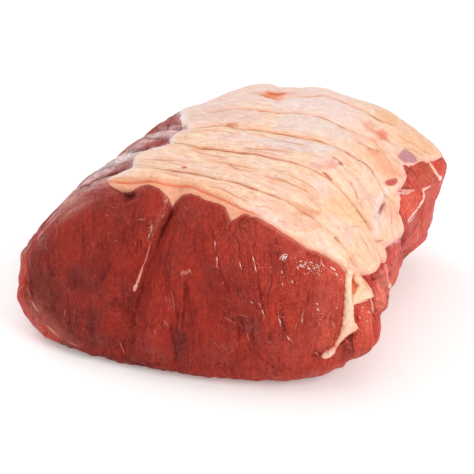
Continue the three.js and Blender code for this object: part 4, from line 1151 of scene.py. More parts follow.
def build_fat():
    D, Q = box_grid(320, 270, 165, sides="top")
    M = np.stack([np.degrees(np.arccos(np.clip(D[:, 2], -1, 1)))] * 2, -1)
    bearing = np.arctan2(D[:, 1], D[:, 0])
    M = M * np.stack([np.cos(bearing), np.sin(bearing)], -1)
    inside = in_polygon(M, EDGE_MAP)
    gap = np.full(len(M), 1e9)
    for c in EDGE_MAP[::4]:
        gap = np.minimum(gap, np.hypot(M[:, 0] - c[0], M[:, 1] - c[1]))
    want = inside | (gap < 5.0)
    Q = Q[want[Q].all(1)]
    used, inv = np.unique(Q, return_inverse=True)
    D = D[used]
    Q = inv.reshape(Q.shape)
    P0 = CORE + D * reach(D)[:, None]
    sd0, kind = fat_side(P0)
    ragged = np.where(kind > 0.5, 1.0, 0.35) * np.where((kind > 1.5) & (kind < 2.5), 2.2, 1.0)
    sd = sd0 + ragged * (0.6 * noise(P0 / 5.0, 70) + 0.35 * noise(P0 / 1.8, 71))
    ok = sd > -3.0
    Q = Q[ok[Q].all(1)]
    used, inv = np.unique(Q, return_inverse=True)
    D, P0, sd, kind = D[used], P0[used], sd[used], kind[used]
    Q = inv.reshape(Q.shape)
    F, ang, ys = flow(P0)
    push, rs, rk = relief(P0, F, ang, ys)
    x, y, z = P0.T
    N0 = vertex_normals(P0, Q)
    h = np.zeros(len(P0))
    col = np.tile(FAT_CREAM, (len(P0), 1))
    cr_d = np.full(len(P0), 9.0)
    cr_m = np.zeros(len(P0))
    inner = sstep((sd - 1.0) / 4)
    flank = 1 - 0.6 * sstep((x - 28) / 30)

    # lumps, then wrinkles that follow the string rings, with painted shade along the wrinkles, partly the fat's own tan
    # tone
    W = fbm(P0 / 16.0, 80, 2)
    back = sstep((y - 2) / 25) * sstep((70 - x) / 30)
    h += 0.42 * noise(np.stack([F[:, 0] / 20.0, F[:, 1] / 9.0, x / 60.0], -1), 81)
    calm = 1 - 0.35 * back
    dark = np.zeros(len(P0))
    for period, amp, deep, tone, seed, rest in ((6.5, 1.1, 0.26, 0.22, 82, 0.1), (3.4, 0.9, 0.15, 0.14, 84, 0.45)):
        phase = F[:, 1] / period + amp * noise(np.stack([F[:, 0] / 26.0, F[:, 1] / (2.2 * period), x / 90.0], -1), seed)
        line = np.exp(-((np.sin(np.pi * phase) / (0.28 + 0.2 * back)) ** 2))
        where = sstep((noise(np.stack([F[:, 0] / 16.0, F[:, 1] / 5.0, x / 60.0], -1), seed + 1) + 0.12) / 0.45) * inner
        h -= deep * line * where * (1 - rest * back) * flank
        dark += tone * line * where * (1 - rest * back) * (0.4 + 0.6 * flank)
    h += 0.16 * fbm(P0 / 2.2, 86, 2)
    ring_here = sstep((noise(P0 / 13.0, 92) + 0.35) / 0.4)
    ring_mask = end_fade(P0) * inner * (0.35 + 0.65 * ring_here)
    seen_part = (ang > -42) & (ang < 62) & (y < 95)
    ring_mask = np.where(seen_part, 0.0, ring_mask)
    h -= 1.1 * np.exp(-((rs / 1.0) ** 2)) * ring_mask
    press_creases(P0, FAT_CREASES, h, cr_d, cr_m, 1.0, 94, 0.50, 1.0, 0.7)
    # painted crease shade is widened where the fat is seen at a slant
    facing = np.clip((N0 @ BACK) / 0.62, 0.17, 1.0)
    cr_d = cr_d * facing
    for px, deep, wide in HOLLOWS:
        L = surface_line(px, 1.0, 1.5)
        i, d, t, side = L.near(P0, wide * 3)
        h[i] -= deep * np.exp(-((d / wide) ** 2)) * np.clip(np.sin(np.pi * np.clip(t, 0.02, 0.98)) * 2, 0, 1)

    # the rolled lip over the cut end, the orange crease under it and the cut fat below
    L = surface_line(LIP_CREASE, 0.3, 1.5)
    i, d, t, side = L.near(P0, 9.0)
    above = side > 0
    taper = np.clip(np.sin(np.pi * np.clip(t, 0.01, 0.99)) * 5, 0, 1)
    fade_r = sstep((1.0 - t) / 0.25)
    roll = np.exp(-(((d - 2.8) / 2.3) ** 2)) * above
    h[i] += 1.5 * roll * fade_r
    h[i] -= 0.9 * np.exp(-((d / 0.8) ** 2)) * taper
    lip_d = np.full(len(P0), 9.0)
    lip_d[i] = np.where(d < 4, d * side, 9.0)
    lip_m = np.zeros(len(P0))
    lip_m[i] = taper * sstep((3.2 - d) / 1.2)
    below = np.zeros(len(P0))
    below[i] = (~above) * sstep(d / 1.5) * taper
    lip = np.zeros(len(P0))
    lip[i] = above * np.exp(-((d / 4.5) ** 2)) * fade_r

    drift = fbm(np.stack([F[:, 0] / 22.0, F[:, 1] / 10.0, x / 60.0], -1), 95, 3)
    col = blend_to(col, FAT_PINK, 0.75 * sstep((drift + 0.05) / 0.6))
    col = blend_to(col, FAT_PEACH, 0.5 * sstep((-drift - 0.05) / 0.7))
    col = blend_to(col, FAT_PINK, 0.75 * back)
    pinks = sstep((fbm(np.stack([F[:, 0] / 6.0, F[:, 1] / 3.0, x / 30.0], -1), 96, 2) - 0.25) / 0.35)
    col = blend_to(col, c3(242, 180, 166), 0.42 * pinks * (1 - 0.6 * back))
    ochre = sstep((fbm(np.stack([F[:, 0] / 9.0, F[:, 1] / 2.5, x / 30.0], -1), 97, 2) - 0.28) / 0.35)
    col = blend_to(col, c3(236, 194, 144), 0.4 * ochre * (1 - 0.7 * back))
    pale = sstep((fbm(np.stack([F[:, 0] / 12.0, F[:, 1] / 5.0, x / 40.0], -1), 101, 2) - 0.3) / 0.35)
    col = blend_to(col, c3(250, 232, 214), 0.6 * pale)
    right_zone = sstep((x - 62) / 22)
    col = blend_to(col, c3(250, 200, 166), 0.35 * right_zone)
    col = paint_spots(P0, col, FAT_SPOTS, 1.0, 99)
    col = blend_to(col, FAT_CUT, 0.9 * below)
    col = blend_to(col, FAT_PEACH, 0.6 * lip)
    col = blend_to(col, c3(252, 184, 142), 0.7 * lip ** 3)
    edge_warm = np.exp(-((sd / 1.3) ** 2)) * (kind < 0.5)
    col = blend_to(col, c3(240, 142, 106), 0.6 * edge_warm * (1 - 0.6 * below))
    far_edge = np.exp(-((sd / 1.8) ** 2)) * (kind > 0.5)
    col = blend_to(col, c3(238, 172, 160), 0.5 * far_edge * (x > 0))
    col = blend_to(col, c3(248, 230, 226), 0.85 * np.exp(-((sd / 3.4) ** 2)) * (kind > 2.4) * (x < 0))
    # painted shade along the wrinkles, partly the fat's own tan tone
    col = blend_to(col, c3(226, 160, 118), np.clip(dark, 0, 1))

    thick = np.where(kind < 0.5, 0.5, np.where(kind < 1.5, 1.1, np.where(kind < 2.5, 0.7, 0.35)))
    prof = thick * (1 - np.exp(-np.clip(sd, 0, 50) / 1.2)) + 0.22
    prof = np.where(sd < 0, 0.22 + 1.3 * sd, prof)
    detail = sstep((sd + 0.4) / 1.8)
    prof = prof + humps(P0) * sstep((1.2 - sd) / 1.6)
    V = P0 + D * push[:, None] + N0 * (prof + h * detail)[:, None]
    col = np.minimum(col * (1 + back[:, None] * np.array([0.01, 0.08, 0.13])), 1)
    col = paint_patches(P0, V, col, FAT_PATCHES, 1.0)
    depth = 1.0 + 6.0 * sstep((sd + 3.0) / 7.0)
    U_ = P0 + D * (push * 0.5)[:, None] - N0 * (depth + 2.9)[:, None]
    n = len(V)
    e = np.concatenate([Q[:, [0, 1]], Q[:, [1, 2]], Q[:, [2, 3]], Q[:, [3, 0]]])
    key = np.sort(e, 1)
    _, first, counts = np.unique(key[:, 0].astype(np.int64) * n + key[:, 1], return_index=True, return_counts=True)
    rim = e[first[counts == 1]]
    wall = np.stack([rim[:, 1], rim[:, 0], rim[:, 0] + n, rim[:, 1] + n], -1)
    faces = np.concatenate([Q, Q[:, ::-1] + n, wall])
    VV = np.concatenate([V, U_])

    def two(a):
        return np.concatenate([a, a])

    attrs = {
        "tint": np.clip(two(col), 0, 1), "flow": two(F), "lines": two(np.stack([cr_d, cr_m, rs], -1)),
        "lip": two(np.stack([lip_d, lip_m, ring_mask], -1)), "wrinkly": two(calm * inner * (0.45 + 0.55 * flank)),
    }
    ob = make_mesh("fat_cover", VV, faces, attrs)
    w = np.concatenate([0.45 * back + 0.1, np.ones(n)])
    w[:n] = np.minimum(w[:n], 0.6)
    return thin_out(ob, w, faces, 190000)


# =====================================================================
# Materials
# =====================================================================
def new_material(name):
    m = bpy.data.materials.new(name)
    m.use_nodes = True
    nt = m.node_tree
    nt.nodes.clear()
    out = nt.nodes.new("ShaderNodeOutputMaterial")
    p = nt.nodes.new("ShaderNodeBsdfPrincipled")
    nt.links.new(p.outputs[0], out.inputs[0])
    return m, nt, p


def attr(nt, name, kind="Color"):
    n = nt.nodes.new("ShaderNodeAttribute")
    n.attribute_name = name
    n.attribute_type = "GEOMETRY"
    return n.outputs[kind]


def tex_noise(nt, vec, scale, detail=3.0, rough=0.55, stretch=None):
    if stretch is not None:
        mp = nt.nodes.new("ShaderNodeMapping")
        mp.inputs["Scale"].default_value = stretch
        nt.links.new(vec, mp.inputs["Vector"])
        vec = mp.outputs[0]
    n = nt.nodes.new("ShaderNodeTexNoise")
    n.inputs["Scale"].default_value = scale
    n.inputs["Detail"].default_value = detail
    n.inputs["Roughness"].default_value = rough
    nt.links.new(vec, n.inputs["Vector"])
    return n.outputs["Fac"]


def ramp(nt, fac, a, b):
    n = nt.nodes.new("ShaderNodeMapRange")
    n.inputs["From Min"].default_value = a
    n.inputs["From Max"].default_value = b
    nt.links.new(fac, n.inputs["Value"])
    return n.outputs[0]


def math_node(nt, op, a, b):
    n = nt.nodes.new("ShaderNodeMath")
    n.operation = op
    for i, v in enumerate((a, b)):
        if isinstance(v, (int, float)):
            n.inputs[i].default_value = v
        else:
            nt.links.new(v, n.inputs[i])
    return n.outputs[0]


def mix_col(nt, fac, a, b, mode="MIX"):
    n = nt.nodes.new("ShaderNodeMix")
    n.data_type = "RGBA"
    n.blend_type = mode
    if isinstance(fac, (int, float)):
        n.inputs[0].default_value = fac
    else:
        nt.links.new(fac, n.inputs[0])
    for i, v in ((6, a), (7, b)):
        if isinstance(v, (tuple, list, np.ndarray)):
            n.inputs[i].default_value = (float(v[0]), float(v[1]), float(v[2]), 1.0)
        else:
            nt.links.new(v, n.inputs[i])
    return n.outputs[2]


def bump(nt, height, strength, distance, normal=None):
    n = nt.nodes.new("ShaderNodeBump")
    n.inputs["Strength"].default_value = strength
    n.inputs["Distance"].default_value = distance
    nt.links.new(height, n.inputs["Height"])
    if normal is not None:
        nt.links.new(normal, n.inputs["Normal"])
    return n.outputs[0]


def gauss(nt, value, width):
    """exp(-(value/width)^2)"""
    v = math_node(nt, "DIVIDE", value, width)
    return math_node(nt, "EXPONENT", math_node(nt, "MULTIPLY", math_node(nt, "MULTIPLY", v, v), -1.0), 0.0)


def split(nt, vec):
    n = nt.nodes.new("ShaderNodeSeparateXYZ")
    nt.links.new(vec, n.inputs[0])
    return n.outputs


def ridge(nt, fac, width):
    """A thin line where a noise passes its middle: 1 on the line, 0 off it."""
    d = math_node(nt, "ABSOLUTE", math_node(nt, "SUBTRACT", fac, 0.5), 0.0)
    return ramp(nt, d, width, 0.0)


def warped(nt, vec, scale, amount):
    """vec pushed about by a slow noise, so that lines wander."""
    n = nt.nodes.new("ShaderNodeTexNoise")
    n.inputs["Scale"].default_value = scale
    n.inputs["Detail"].default_value = 1.0
    nt.links.new(vec, n.inputs["Vector"])
    a = nt.nodes.new("ShaderNodeVectorMath")
    a.operation = "SUBTRACT"
    a.inputs[1].default_value = (0.5, 0.5, 0.5)
    nt.links.new(n.outputs["Color"], a.inputs[0])
    b = nt.nodes.new("ShaderNodeVectorMath")
    b.operation = "MULTIPLY_ADD"
    b.inputs[1].default_value = (amount, amount, amount)
    nt.links.new(a.outputs[0], b.inputs[0])
    nt.links.new(vec, b.inputs[2])
    return b.outputs[0]


def lean_material():
    m, nt, p = new_material("raw_lean_meat")
    obj = nt.nodes.new("ShaderNodeTexCoord").outputs["Object"]
    tint = attr(nt, "tint")
    cut = attr(nt, "cut", "Fac")
    wet = attr(nt, "wet", "Fac")
    ring = attr(nt, "ring", "Fac")
    flow_v = attr(nt, "flow", "Vector")
    lines = split(nt, attr(nt, "lines", "Vector"))
    wobj = warped(nt, obj, 60.0, 0.006)
    wflow = warped(nt, flow_v, 0.08, 5.0)

    def two_way(a, b):
        g = nt.nodes.new("ShaderNodeMix")
        g.data_type = "FLOAT"
        nt.links.new(cut, g.inputs[0])
        nt.links.new(b, g.inputs[2])
        nt.links.new(a, g.inputs[3])
        return g.outputs[0]

    grain = two_way(tex_noise(nt, wobj, 1.0, 4.0, 0.62, (760, 400, 230)), tex_noise(nt, wflow, 1.0, 4.0, 0.6, (0.16, 0.85, 1.0)))
    fine = two_way(tex_noise(nt, wobj, 1.0, 3.0, 0.6, (1700, 900, 700)), tex_noise(nt, wflow, 1.0, 3.0, 0.6, (0.5, 2.0, 1.0)))
    veins = two_way(ridge(nt, tex_noise(nt, wobj, 1.0, 2.0, 0.5, (150, 90, 62)), 0.022), ridge(nt, tex_noise(nt, wflow, 1.0, 2.0, 0.5, (0.05, 0.24, 1.0)), 0.03))
    slits = two_way(ridge(nt, tex_noise(nt, wobj, 1.0, 3.0, 0.55, (240, 130, 60)), 0.03), ridge(nt, tex_noise(nt, wflow, 1.0, 3.0, 0.55, (0.05, 0.34, 1.0)), 0.03))
    patchy = ramp(nt, tex_noise(nt, obj, 95.0, 2.0, 0.5), 0.46, 0.62)
    patchy2 = ramp(nt, tex_noise(nt, obj, 70.0, 2.0, 0.5, (1.1, 1.0, 0.9)), 0.44, 0.60)
    mottle = tex_noise(nt, obj, 560.0, 4.0, 0.68)

    c = mix_col(nt, ramp(nt, grain, 0.34, 0.64), mix_col(nt, 1.0, tint, (0.84, 0.74, 0.74), "MULTIPLY"), mix_col(nt, 1.0, tint, (1.09, 1.14, 1.14), "MULTIPLY"))
    c = mix_col(nt, ramp(nt, fine, 0.36, 0.64), mix_col(nt, 1.0, c, (0.86, 0.76, 0.76), "MULTIPLY"), mix_col(nt, 1.0, c, (1.10, 1.22, 1.20), "MULTIPLY"))
    c = mix_col(nt, ramp(nt, mottle, 0.32, 0.72), mix_col(nt, 1.0, c, (0.86, 0.74, 0.74), "MULTIPLY"), mix_col(nt, 1.0, c, (1.12, 1.24, 1.22), "MULTIPLY"))
    c = mix_col(nt, math_node(nt, "MULTIPLY", math_node(nt, "MULTIPLY", veins, patchy), 0.26), c, c3(206, 112, 98))
    # painted shade in thin slit furrows
    c = mix_col(nt, math_node(nt, "MULTIPLY", math_node(nt, "MULTIPLY", slits, patchy2), 0.24), c, mix_col(nt, 1.0, c, (0.5, 0.36, 0.36), "MULTIPLY"))
    # painted glints: tiny pale specks over the grain
    glint_speck = ramp(nt, tex_noise(nt, obj, 1.0, 2.0, 0.5, (1150, 1150, 640)), 0.62, 0.72)
    c = mix_col(nt, math_node(nt, "MULTIPLY", glint_speck, 0.55), c, mix_col(nt, 1.0, c, (1.7, 2.2, 2.2), "MULTIPLY"))
    # painted shade in the creases and string rings: a dark core and a softer darker halo
    crease = math_node(nt, "MULTIPLY", gauss(nt, lines[0], 0.62), lines[1])
    soft = math_node(nt, "MULTIPLY", gauss(nt, lines[0], 1.4), lines[1])
    ringl = math_node(nt, "MULTIPLY", gauss(nt, lines[2], 0.8), ring)
    c = mix_col(nt, math_node(nt, "MULTIPLY", soft, 0.24), c, mix_col(nt, 1.0, c, (0.55, 0.45, 0.46), "MULTIPLY"))
    c = mix_col(nt, math_node(nt, "MINIMUM", math_node(nt, "MULTIPLY", crease, 0.7), 0.8), c, c3(88, 22, 22))
    c = mix_col(nt, math_node(nt, "MULTIPLY", ringl, 0.6), c, c3(104, 34, 32))
    nt.links.new(c, p.inputs["Base Color"])

    shine = math_node(nt, "MULTIPLY", wet, ramp(nt, tex_noise(nt, obj, 150.0, 3.0, 0.6), 0.40, 0.60))
    r = nt.nodes.new("ShaderNodeMapRange")
    r.inputs["To Min"].default_value = 0.56
    r.inputs["To Max"].default_value = 0.13
    nt.links.new(shine, r.inputs["Value"])
    nt.links.new(r.outputs[0], p.inputs["Roughness"])
    height = math_node(nt, "ADD", math_node(nt, "MULTIPLY", grain, 1.0), math_node(nt, "MULTIPLY", mottle, 0.5))
    height = math_node(nt, "SUBTRACT", height, math_node(nt, "MULTIPLY", math_node(nt, "MULTIPLY", slits, patchy2), 0.6))
    height = math_node(nt, "SUBTRACT", height, math_node(nt, "MULTIPLY", crease, 1.2))
    b1 = bump(nt, height, 0.9, 0.0013)
    b2 = bump(nt, fine, 0.75, 0.0008, b1)
    nt.links.new(b2, p.inputs["Normal"])
    p.inputs["Specular IOR Level"].default_value = 0.26
    p.inputs["Subsurface Weight"].default_value = 0.10
    p.inputs["Subsurface Radius"].default_value = (0.004, 0.0012, 0.0008)
    p.inputs["Subsurface Scale"].default_value = 1.0
    return m


def fat_material():
    m, nt, p = new_material("raw_beef_fat")
    obj = nt.nodes.new("ShaderNodeTexCoord").outputs["Object"]
    tint = attr(nt, "tint")
    wrinkly = attr(nt, "wrinkly", "Fac")
    flow_v = attr(nt, "flow", "Vector")
    lines = split(nt, attr(nt, "lines", "Vector"))
    lip = split(nt, attr(nt, "lip", "Vector"))
    wflow = warped(nt, flow_v, 0.09, 2.0)
    fine = tex_noise(nt, wflow, 1.0, 5.0, 0.65, (0.42, 1.5, 1.0))
    fy = split(nt, flow_v)[1]

    def waves(period, amp, stretch, width):
        """Long wrinkles along the flow; they wander and bunch but never close into loops."""
        wander = tex_noise(nt, flow_v, 1.0, 2.0, 0.5, stretch)
        phase = math_node(nt, "ADD", math_node(nt, "MULTIPLY", fy, math.pi / period), math_node(nt, "MULTIPLY", wander, amp))
        return ramp(nt, math_node(nt, "ABSOLUTE", math_node(nt, "SINE", phase, 0.0), 0.0), width, 0.0)

    wr1 = waves(2.7, 9.0, (0.045, 0.12, 1.0), 0.42)
    wr2 = waves(1.6, 10.0, (0.06, 0.20, 1.0), 0.55)
    patchy = ramp(nt, tex_noise(nt, flow_v, 1.0, 2.0, 0.5, (0.10, 0.26, 1.0)), 0.46, 0.60)
    patchy2 = ramp(nt, tex_noise(nt, flow_v, 1.0, 2.0, 0.5, (0.16, 0.34, 1.0)), 0.44, 0.60)
    mottle = tex_noise(nt, obj, 300.0, 3.0, 0.6)
    l1 = math_node(nt, "MULTIPLY", math_node(nt, "MULTIPLY", wr1, patchy), wrinkly)
    l2 = math_node(nt, "MULTIPLY", math_node(nt, "MULTIPLY", wr2, patchy2), wrinkly)

    c = mix_col(nt, ramp(nt, fine, 0.34, 0.62), mix_col(nt, 1.0, tint, (0.93, 0.81, 0.75), "MULTIPLY"), tint)
    c = mix_col(nt, ramp(nt, mottle, 0.35, 0.7), mix_col(nt, 1.0, c, (0.96, 0.90, 0.88), "MULTIPLY"), mix_col(nt, 1.0, c, (1.03, 1.05, 1.06), "MULTIPLY"))
    # darker tan lines on the wrinkles: painted shade in them, partly the fat's own tone
    c = mix_col(nt, math_node(nt, "MULTIPLY", l1, 0.50), c, c3(218, 150, 106))
    c = mix_col(nt, math_node(nt, "MULTIPLY", l2, 0.50), c, c3(230, 166, 124))
    # orange-brown lines with an orange halo along the creases and string rings: painted shade in the grooves, partly
    # the fat's own tone
    crease = math_node(nt, "MULTIPLY", gauss(nt, lines[0], 0.38), lines[1])
    soft = math_node(nt, "MULTIPLY", gauss(nt, lines[0], 1.25), lines[1])
    rings = math_node(nt, "MULTIPLY", gauss(nt, lines[2], 0.5), lip[2])
    c = mix_col(nt, math_node(nt, "MULTIPLY", soft, 0.60), c, c3(240, 164, 118))
    c = mix_col(nt, math_node(nt, "MINIMUM", crease, 1.0), c, c3(182, 100, 60))
    c = mix_col(nt, math_node(nt, "MULTIPLY", rings, 0.8), c, c3(186, 116, 76))
    lipl = math_node(nt, "MULTIPLY", gauss(nt, lip[0], 0.68), lip[1])
    c = mix_col(nt, math_node(nt, "MULTIPLY", lipl, 0.85), c, c3(238, 126, 88))
    nt.links.new(c, p.inputs["Base Color"])
    rr = math_node(nt, "ADD", 0.40, math_node(nt, "MULTIPLY", mottle, 0.22))
    nt.links.new(rr, p.inputs["Roughness"])
    height = math_node(nt, "ADD", math_node(nt, "MULTIPLY", fine, 0.6), math_node(nt, "MULTIPLY", mottle, 0.4))
    height = math_node(nt, "SUBTRACT", height, math_node(nt, "MULTIPLY", l1, 0.8))
    height = math_node(nt, "SUBTRACT", height, math_node(nt, "MULTIPLY", l2, 0.5))
    height = math_node(nt, "SUBTRACT", height, math_node(nt, "MULTIPLY", crease, 1.2))
    b1 = bump(nt, height, 0.55, 0.0007)
    nt.links.new(b1, p.inputs["Normal"])
    p.inputs["Specular IOR Level"].default_value = 0.34
    p.inputs["Subsurface Weight"].default_value = 0.12
    p.inputs["Subsurface Radius"].default_value = (0.004, 0.002, 0.0012)
    p.inputs["Subsurface Scale"].default_value = 1.0
    return m


def tissue_material():
    m, nt, p = new_material("connective_tissue")
    obj = nt.nodes.new("ShaderNodeTexCoord").outputs["Object"]
    tint = attr(nt, "tint")
    mottle = tex_noise(nt, obj, 420.0, 3.0, 0.6)
    streak = tex_noise(nt, obj, 1.0, 3.0, 0.6, (900, 900, 260))
    c = mix_col(nt, ramp(nt, mottle, 0.35, 0.7), mix_col(nt, 1.0, tint, (0.95, 0.88, 0.85), "MULTIPLY"), tint)
    c = mix_col(nt, ramp(nt, streak, 0.36, 0.62), mix_col(nt, 1.0, c, (0.95, 0.88, 0.84), "MULTIPLY"), c)
    nt.links.new(c, p.inputs["Base Color"])
    rr = math_node(nt, "ADD", 0.26, math_node(nt, "MULTIPLY", mottle, 0.3))
    nt.links.new(rr, p.inputs["Roughness"])
    b1 = bump(nt, mottle, 0.4, 0.0006)
    b2 = bump(nt, streak, 0.4, 0.0005, b1)
    nt.links.new(b2, p.inputs["Normal"])
    p.inputs["Specular IOR Level"].default_value = 0.4
    p.inputs["Subsurface Weight"].default_value = 0.10
    p.inputs["Subsurface Radius"].default_value = (0.003, 0.0015, 0.001)
    p.inputs["Subsurface Scale"].default_value = 1.0
    return m


MAT_LEAN = lean_material()
MAT_FAT = fat_material()
MAT_TISSUE = tissue_material()


# near-white finish for the painted glints and pale flecks
def glint_fleck_material():
    m, nt, p = new_material("painted_glint_fleck")
    obj = nt.nodes.new("ShaderNodeTexCoord").outputs["Object"]
    tint = attr(nt, "tint")
    mottle = tex_noise(nt, obj, 900.0, 2.0, 0.5)
    nt.links.new(mix_col(nt, ramp(nt, mottle, 0.35, 0.65), mix_col(nt, 1.0, tint, (0.96, 0.93, 0.92), "MULTIPLY"), tint), p.inputs["Base Color"])
    p.inputs["Roughness"].default_value = 0.42
    p.inputs["Specular IOR Level"].default_value = 0.36
    nt.links.new(bump(nt, mottle, 0.4, 0.0004), p.inputs["Normal"])
    return m


MAT_GLINT_FLECK = glint_fleck_material()

lean = build_lean()
lean.data.materials.clear()
lean.data.materials.append(MAT_LEAN)
fat = build_fat()
fat.data.materials.clear()
fat.data.materials.append(MAT_FAT)


# =====================================================================
# Seam fat, membranes, sinew, flecks and painted glints lie on the finished surfaces
# =====================================================================
class Skin:
    """The finished surface of lean and fat together, to lay small pieces on."""

    def __init__(self, obs):
        verts, polys, k = [], [], 0
        for ob in obs:
            me = ob.data
            co = np.empty(len(me.vertices) * 3, np.float32)
            me.vertices.foreach_get("co", co)
            verts.append(co.reshape(-1, 3).astype(float) * 1000.0 - SHIFT)
            loops = np.empty(len(me.loops), np.int32)
            me.loops.foreach_get("vertex_index", loops)
            starts = np.empty(len(me.polygons), np.int32)
            me.polygons.foreach_get("loop_start", starts)
            totals = np.empty(len(me.polygons), np.int32)
            me.polygons.foreach_get("loop_total", totals)
            loops = (loops + k).tolist()
            polys += [loops[a:a + n] for a, n in zip(starts.tolist(), totals.tolist())]
            k += len(me.vertices)
        self.tree = BVHTree.FromPolygons([tuple(v) for v in np.concatenate(verts).tolist()], polys)

    def seen(self, px):
        """Where a point of the image lies on the surface: position and outward normal, or None."""
        d = -BACK + RIGHT_V * ((px[0] - IMAGE / 2) / FOCAL) + UP_V * ((IMAGE / 2 - px[1]) / FOCAL)
        co, no, _, _ = self.tree.ray_cast(Vector(EYE), Vector(d / np.linalg.norm(d)))
        if co is None:
            return None
        return np.array(co), np.array(no)

    def toward(self, direction):
        d = np.array(direction, float)
        d /= np.linalg.norm(d)
        co, no, _, _ = self.tree.ray_cast(Vector(CORE + d * 200.0), Vector(-d))
        if co is None:
            return None
        return np.array(co), np.array(no)

    def drop(self, p, n, away=4.0):
        co, no, _, _ = self.tree.ray_cast(Vector(p + n * away), Vector(-n), away * 3)
        if co is None:
            return p
        return np.array(co)


skin = Skin([lean, fat])
rng = np.random.default_rng(11)


class Bits:
    """Small closed solids gathered into one mesh."""

    def __init__(self):
        self.V, self.F, self.C, self.n = [], [], [], 0

    def grid(self, top, bottom, colors):
        """Closed solid between two grids of points, (rows, cols, 3)."""
        r, c = top.shape[:2]
        k = self.n
        self.V.append(top.reshape(-1, 3))
        self.V.append(bottom.reshape(-1, 3))
        self.C.append(colors.reshape(-1, 3))
        self.C.append(colors.reshape(-1, 3))
        m = r * c
        idx = np.arange(m).reshape(r, c) + k
        q = np.stack([idx[:-1, :-1], idx[:-1, 1:], idx[1:, 1:], idx[1:, :-1]], -1).reshape(-1, 4)
        self.F.append(q)
        self.F.append(q[:, ::-1] + m)
        rim = np.concatenate([idx[0, :], idx[1:, -1], idx[-1, ::-1][1:], idx[::-1, 0][1:-1]])
        nxt = np.roll(rim, -1)
        self.F.append(np.stack([nxt, rim, rim + m, nxt + m], -1))
        self.n += 2 * m

    def ribbon(self, pts, normals, width, thick, rgb, taper=0.3, sink=0.7, seed=1, across=6, tip_rgb=None, lump=0.22, edge_rgb=None):
        """A strip laid on the surface through pts; width and thickness in mm, may vary along it."""
        P = np.asarray(pts, float)
        N = np.asarray(normals, float)
        if len(P) < 2:
            return
        T = np.gradient(P, axis=0)
        T /= np.linalg.norm(T, axis=1, keepdims=True) + 1e-9
        N = N - (N * T).sum(1, keepdims=True) * T
        N /= np.linalg.norm(N, axis=1, keepdims=True) + 1e-9
        B = np.cross(N, T)
        t = np.linspace(0, 1, len(P))
        w = np.interp(t, np.linspace(0, 1, len(np.atleast_1d(width))), np.atleast_1d(width)) / 2
        h = np.interp(t, np.linspace(0, 1, len(np.atleast_1d(thick))), np.atleast_1d(thick))
        end = np.minimum(np.minimum(t, 1 - t) / max(taper, 1e-3), 1)
        end = np.sqrt(np.clip(end, 0.04, 1))
        w = w * end * (1 + lump * noise(P / 1.7, seed))
        us = np.linspace(-1, 1, across + 1)
        top = np.zeros((len(P), across + 1, 3))
        bottom = np.zeros_like(top)
        col = np.zeros_like(top)
        base = c3(*rgb)
        tip = c3(*(tip_rgb or rgb))
        for i in range(len(P)):
            for j, u in enumerate(us):
                q = P[i] + B[i] * (u * w[i])
                q = skin.drop(q, N[i])
                prof = (1 - u * u) ** 0.5 if abs(u) < 1 else 0.0
                top[i, j] = q + N[i] * (h[i] * end[i] * prof - 0.06)
                bottom[i, j] = q - N[i] * sink
                shade = 1 + 0.10 * math.sin(i * 1.7 + j * 2.3 + seed)
                here = (base * (1 - t[i]) + tip * t[i]) * shade
                if edge_rgb is not None:
                    k = abs(u) ** 3 * 0.8
                    here = here * (1 - k) + c3(*edge_rgb) * k
                col[i, j] = here
        self.grid(top, bottom, col)

    def seen_ribbon(self, px, width, thick, rgb, step=1.2, **kw):
        path = smooth_line(px, step, 1)
        hits = [skin.seen(p) for p in path]
        hits = [h for h in hits if h is not None]
        if len(hits) < 2:
            return
        P = np.array([h[0] for h in hits])
        N = np.array([h[1] for h in hits])
        for _ in range(2):
            N[1:-1] = N[:-2] + 2 * N[1:-1] + N[2:]
            N /= np.linalg.norm(N, axis=1, keepdims=True)
        self.ribbon(P, N, width, thick, rgb, **kw)

    def pad(self, outline, thick, rgb_of, step=0.9, sink=1.6, edge=1.2, seed=3, bulge=None, noise_mm=0.25, out_px=1.6):
        """A patch seen through an outline in the image, rounded at its edges and closed underneath."""
        poly = np.asarray(outline, float)
        x0, y0 = poly.min(0) - 2.5
        x1, y1 = poly.max(0) + 2.5
        xs = np.arange(x0, x1, step)
        ys = np.arange(y0, y1, step)
        X, Y = np.meshgrid(xs, ys, indexing="xy")
        pts = np.stack([X.ravel(), Y.ravel()], -1)
        inside = in_polygon(pts, poly)
        ring = np.concatenate([poly, poly[:1]])
        d = np.full(len(pts), 1e9)
        for a, b in zip(ring[:-1], ring[1:]):
            u = b - a
            t = np.clip(((pts - a) @ u) / max(u @ u, 1e-9), 0, 1)
            d = np.minimum(d, np.linalg.norm(pts - a - t[:, None] * u, axis=1))
        sd = np.where(inside, d, -d)
        ids = -np.ones(len(pts), int)
        top, bottom, cols = [], [], []
        for i in np.where(sd > -out_px)[0]:
            hit = skin.seen(pts[i])
            if hit is None:
                continue
            ids[i] = len(top)
            p, n = hit
            n = (n + 0.4 * BACK)
            n /= np.linalg.norm(n)
            s = sd[i] * 0.54
            up = thick * (1 - math.exp(-max(s, 0) / edge)) + min(s, 0) * 1.6
            if bulge is not None:
                up += bulge(pts[i][0], pts[i][1]) * sstep(s / 1.5)
            top.append(p + n * up)
            bottom.append(p - n * (sink + max(-s, 0) * 0.4))
            cols.append(c3(*rgb_of(pts[i][0], pts[i][1], s)))
        if len(top) < 4:
            return
        top = np.array(top)
        top += (BACK * noise_mm) * fbm(top / 2.2, seed, 2)[:, None]
        bottom = np.array(bottom)
        cols = np.array(cols)
        g = ids.reshape(Y.shape)
        q = np.stack([g[:-1, :-1], g[1:, :-1], g[1:, 1:], g[:-1, 1:]], -1).reshape(-1, 4)
        q = q[(q >= 0).all(1)]
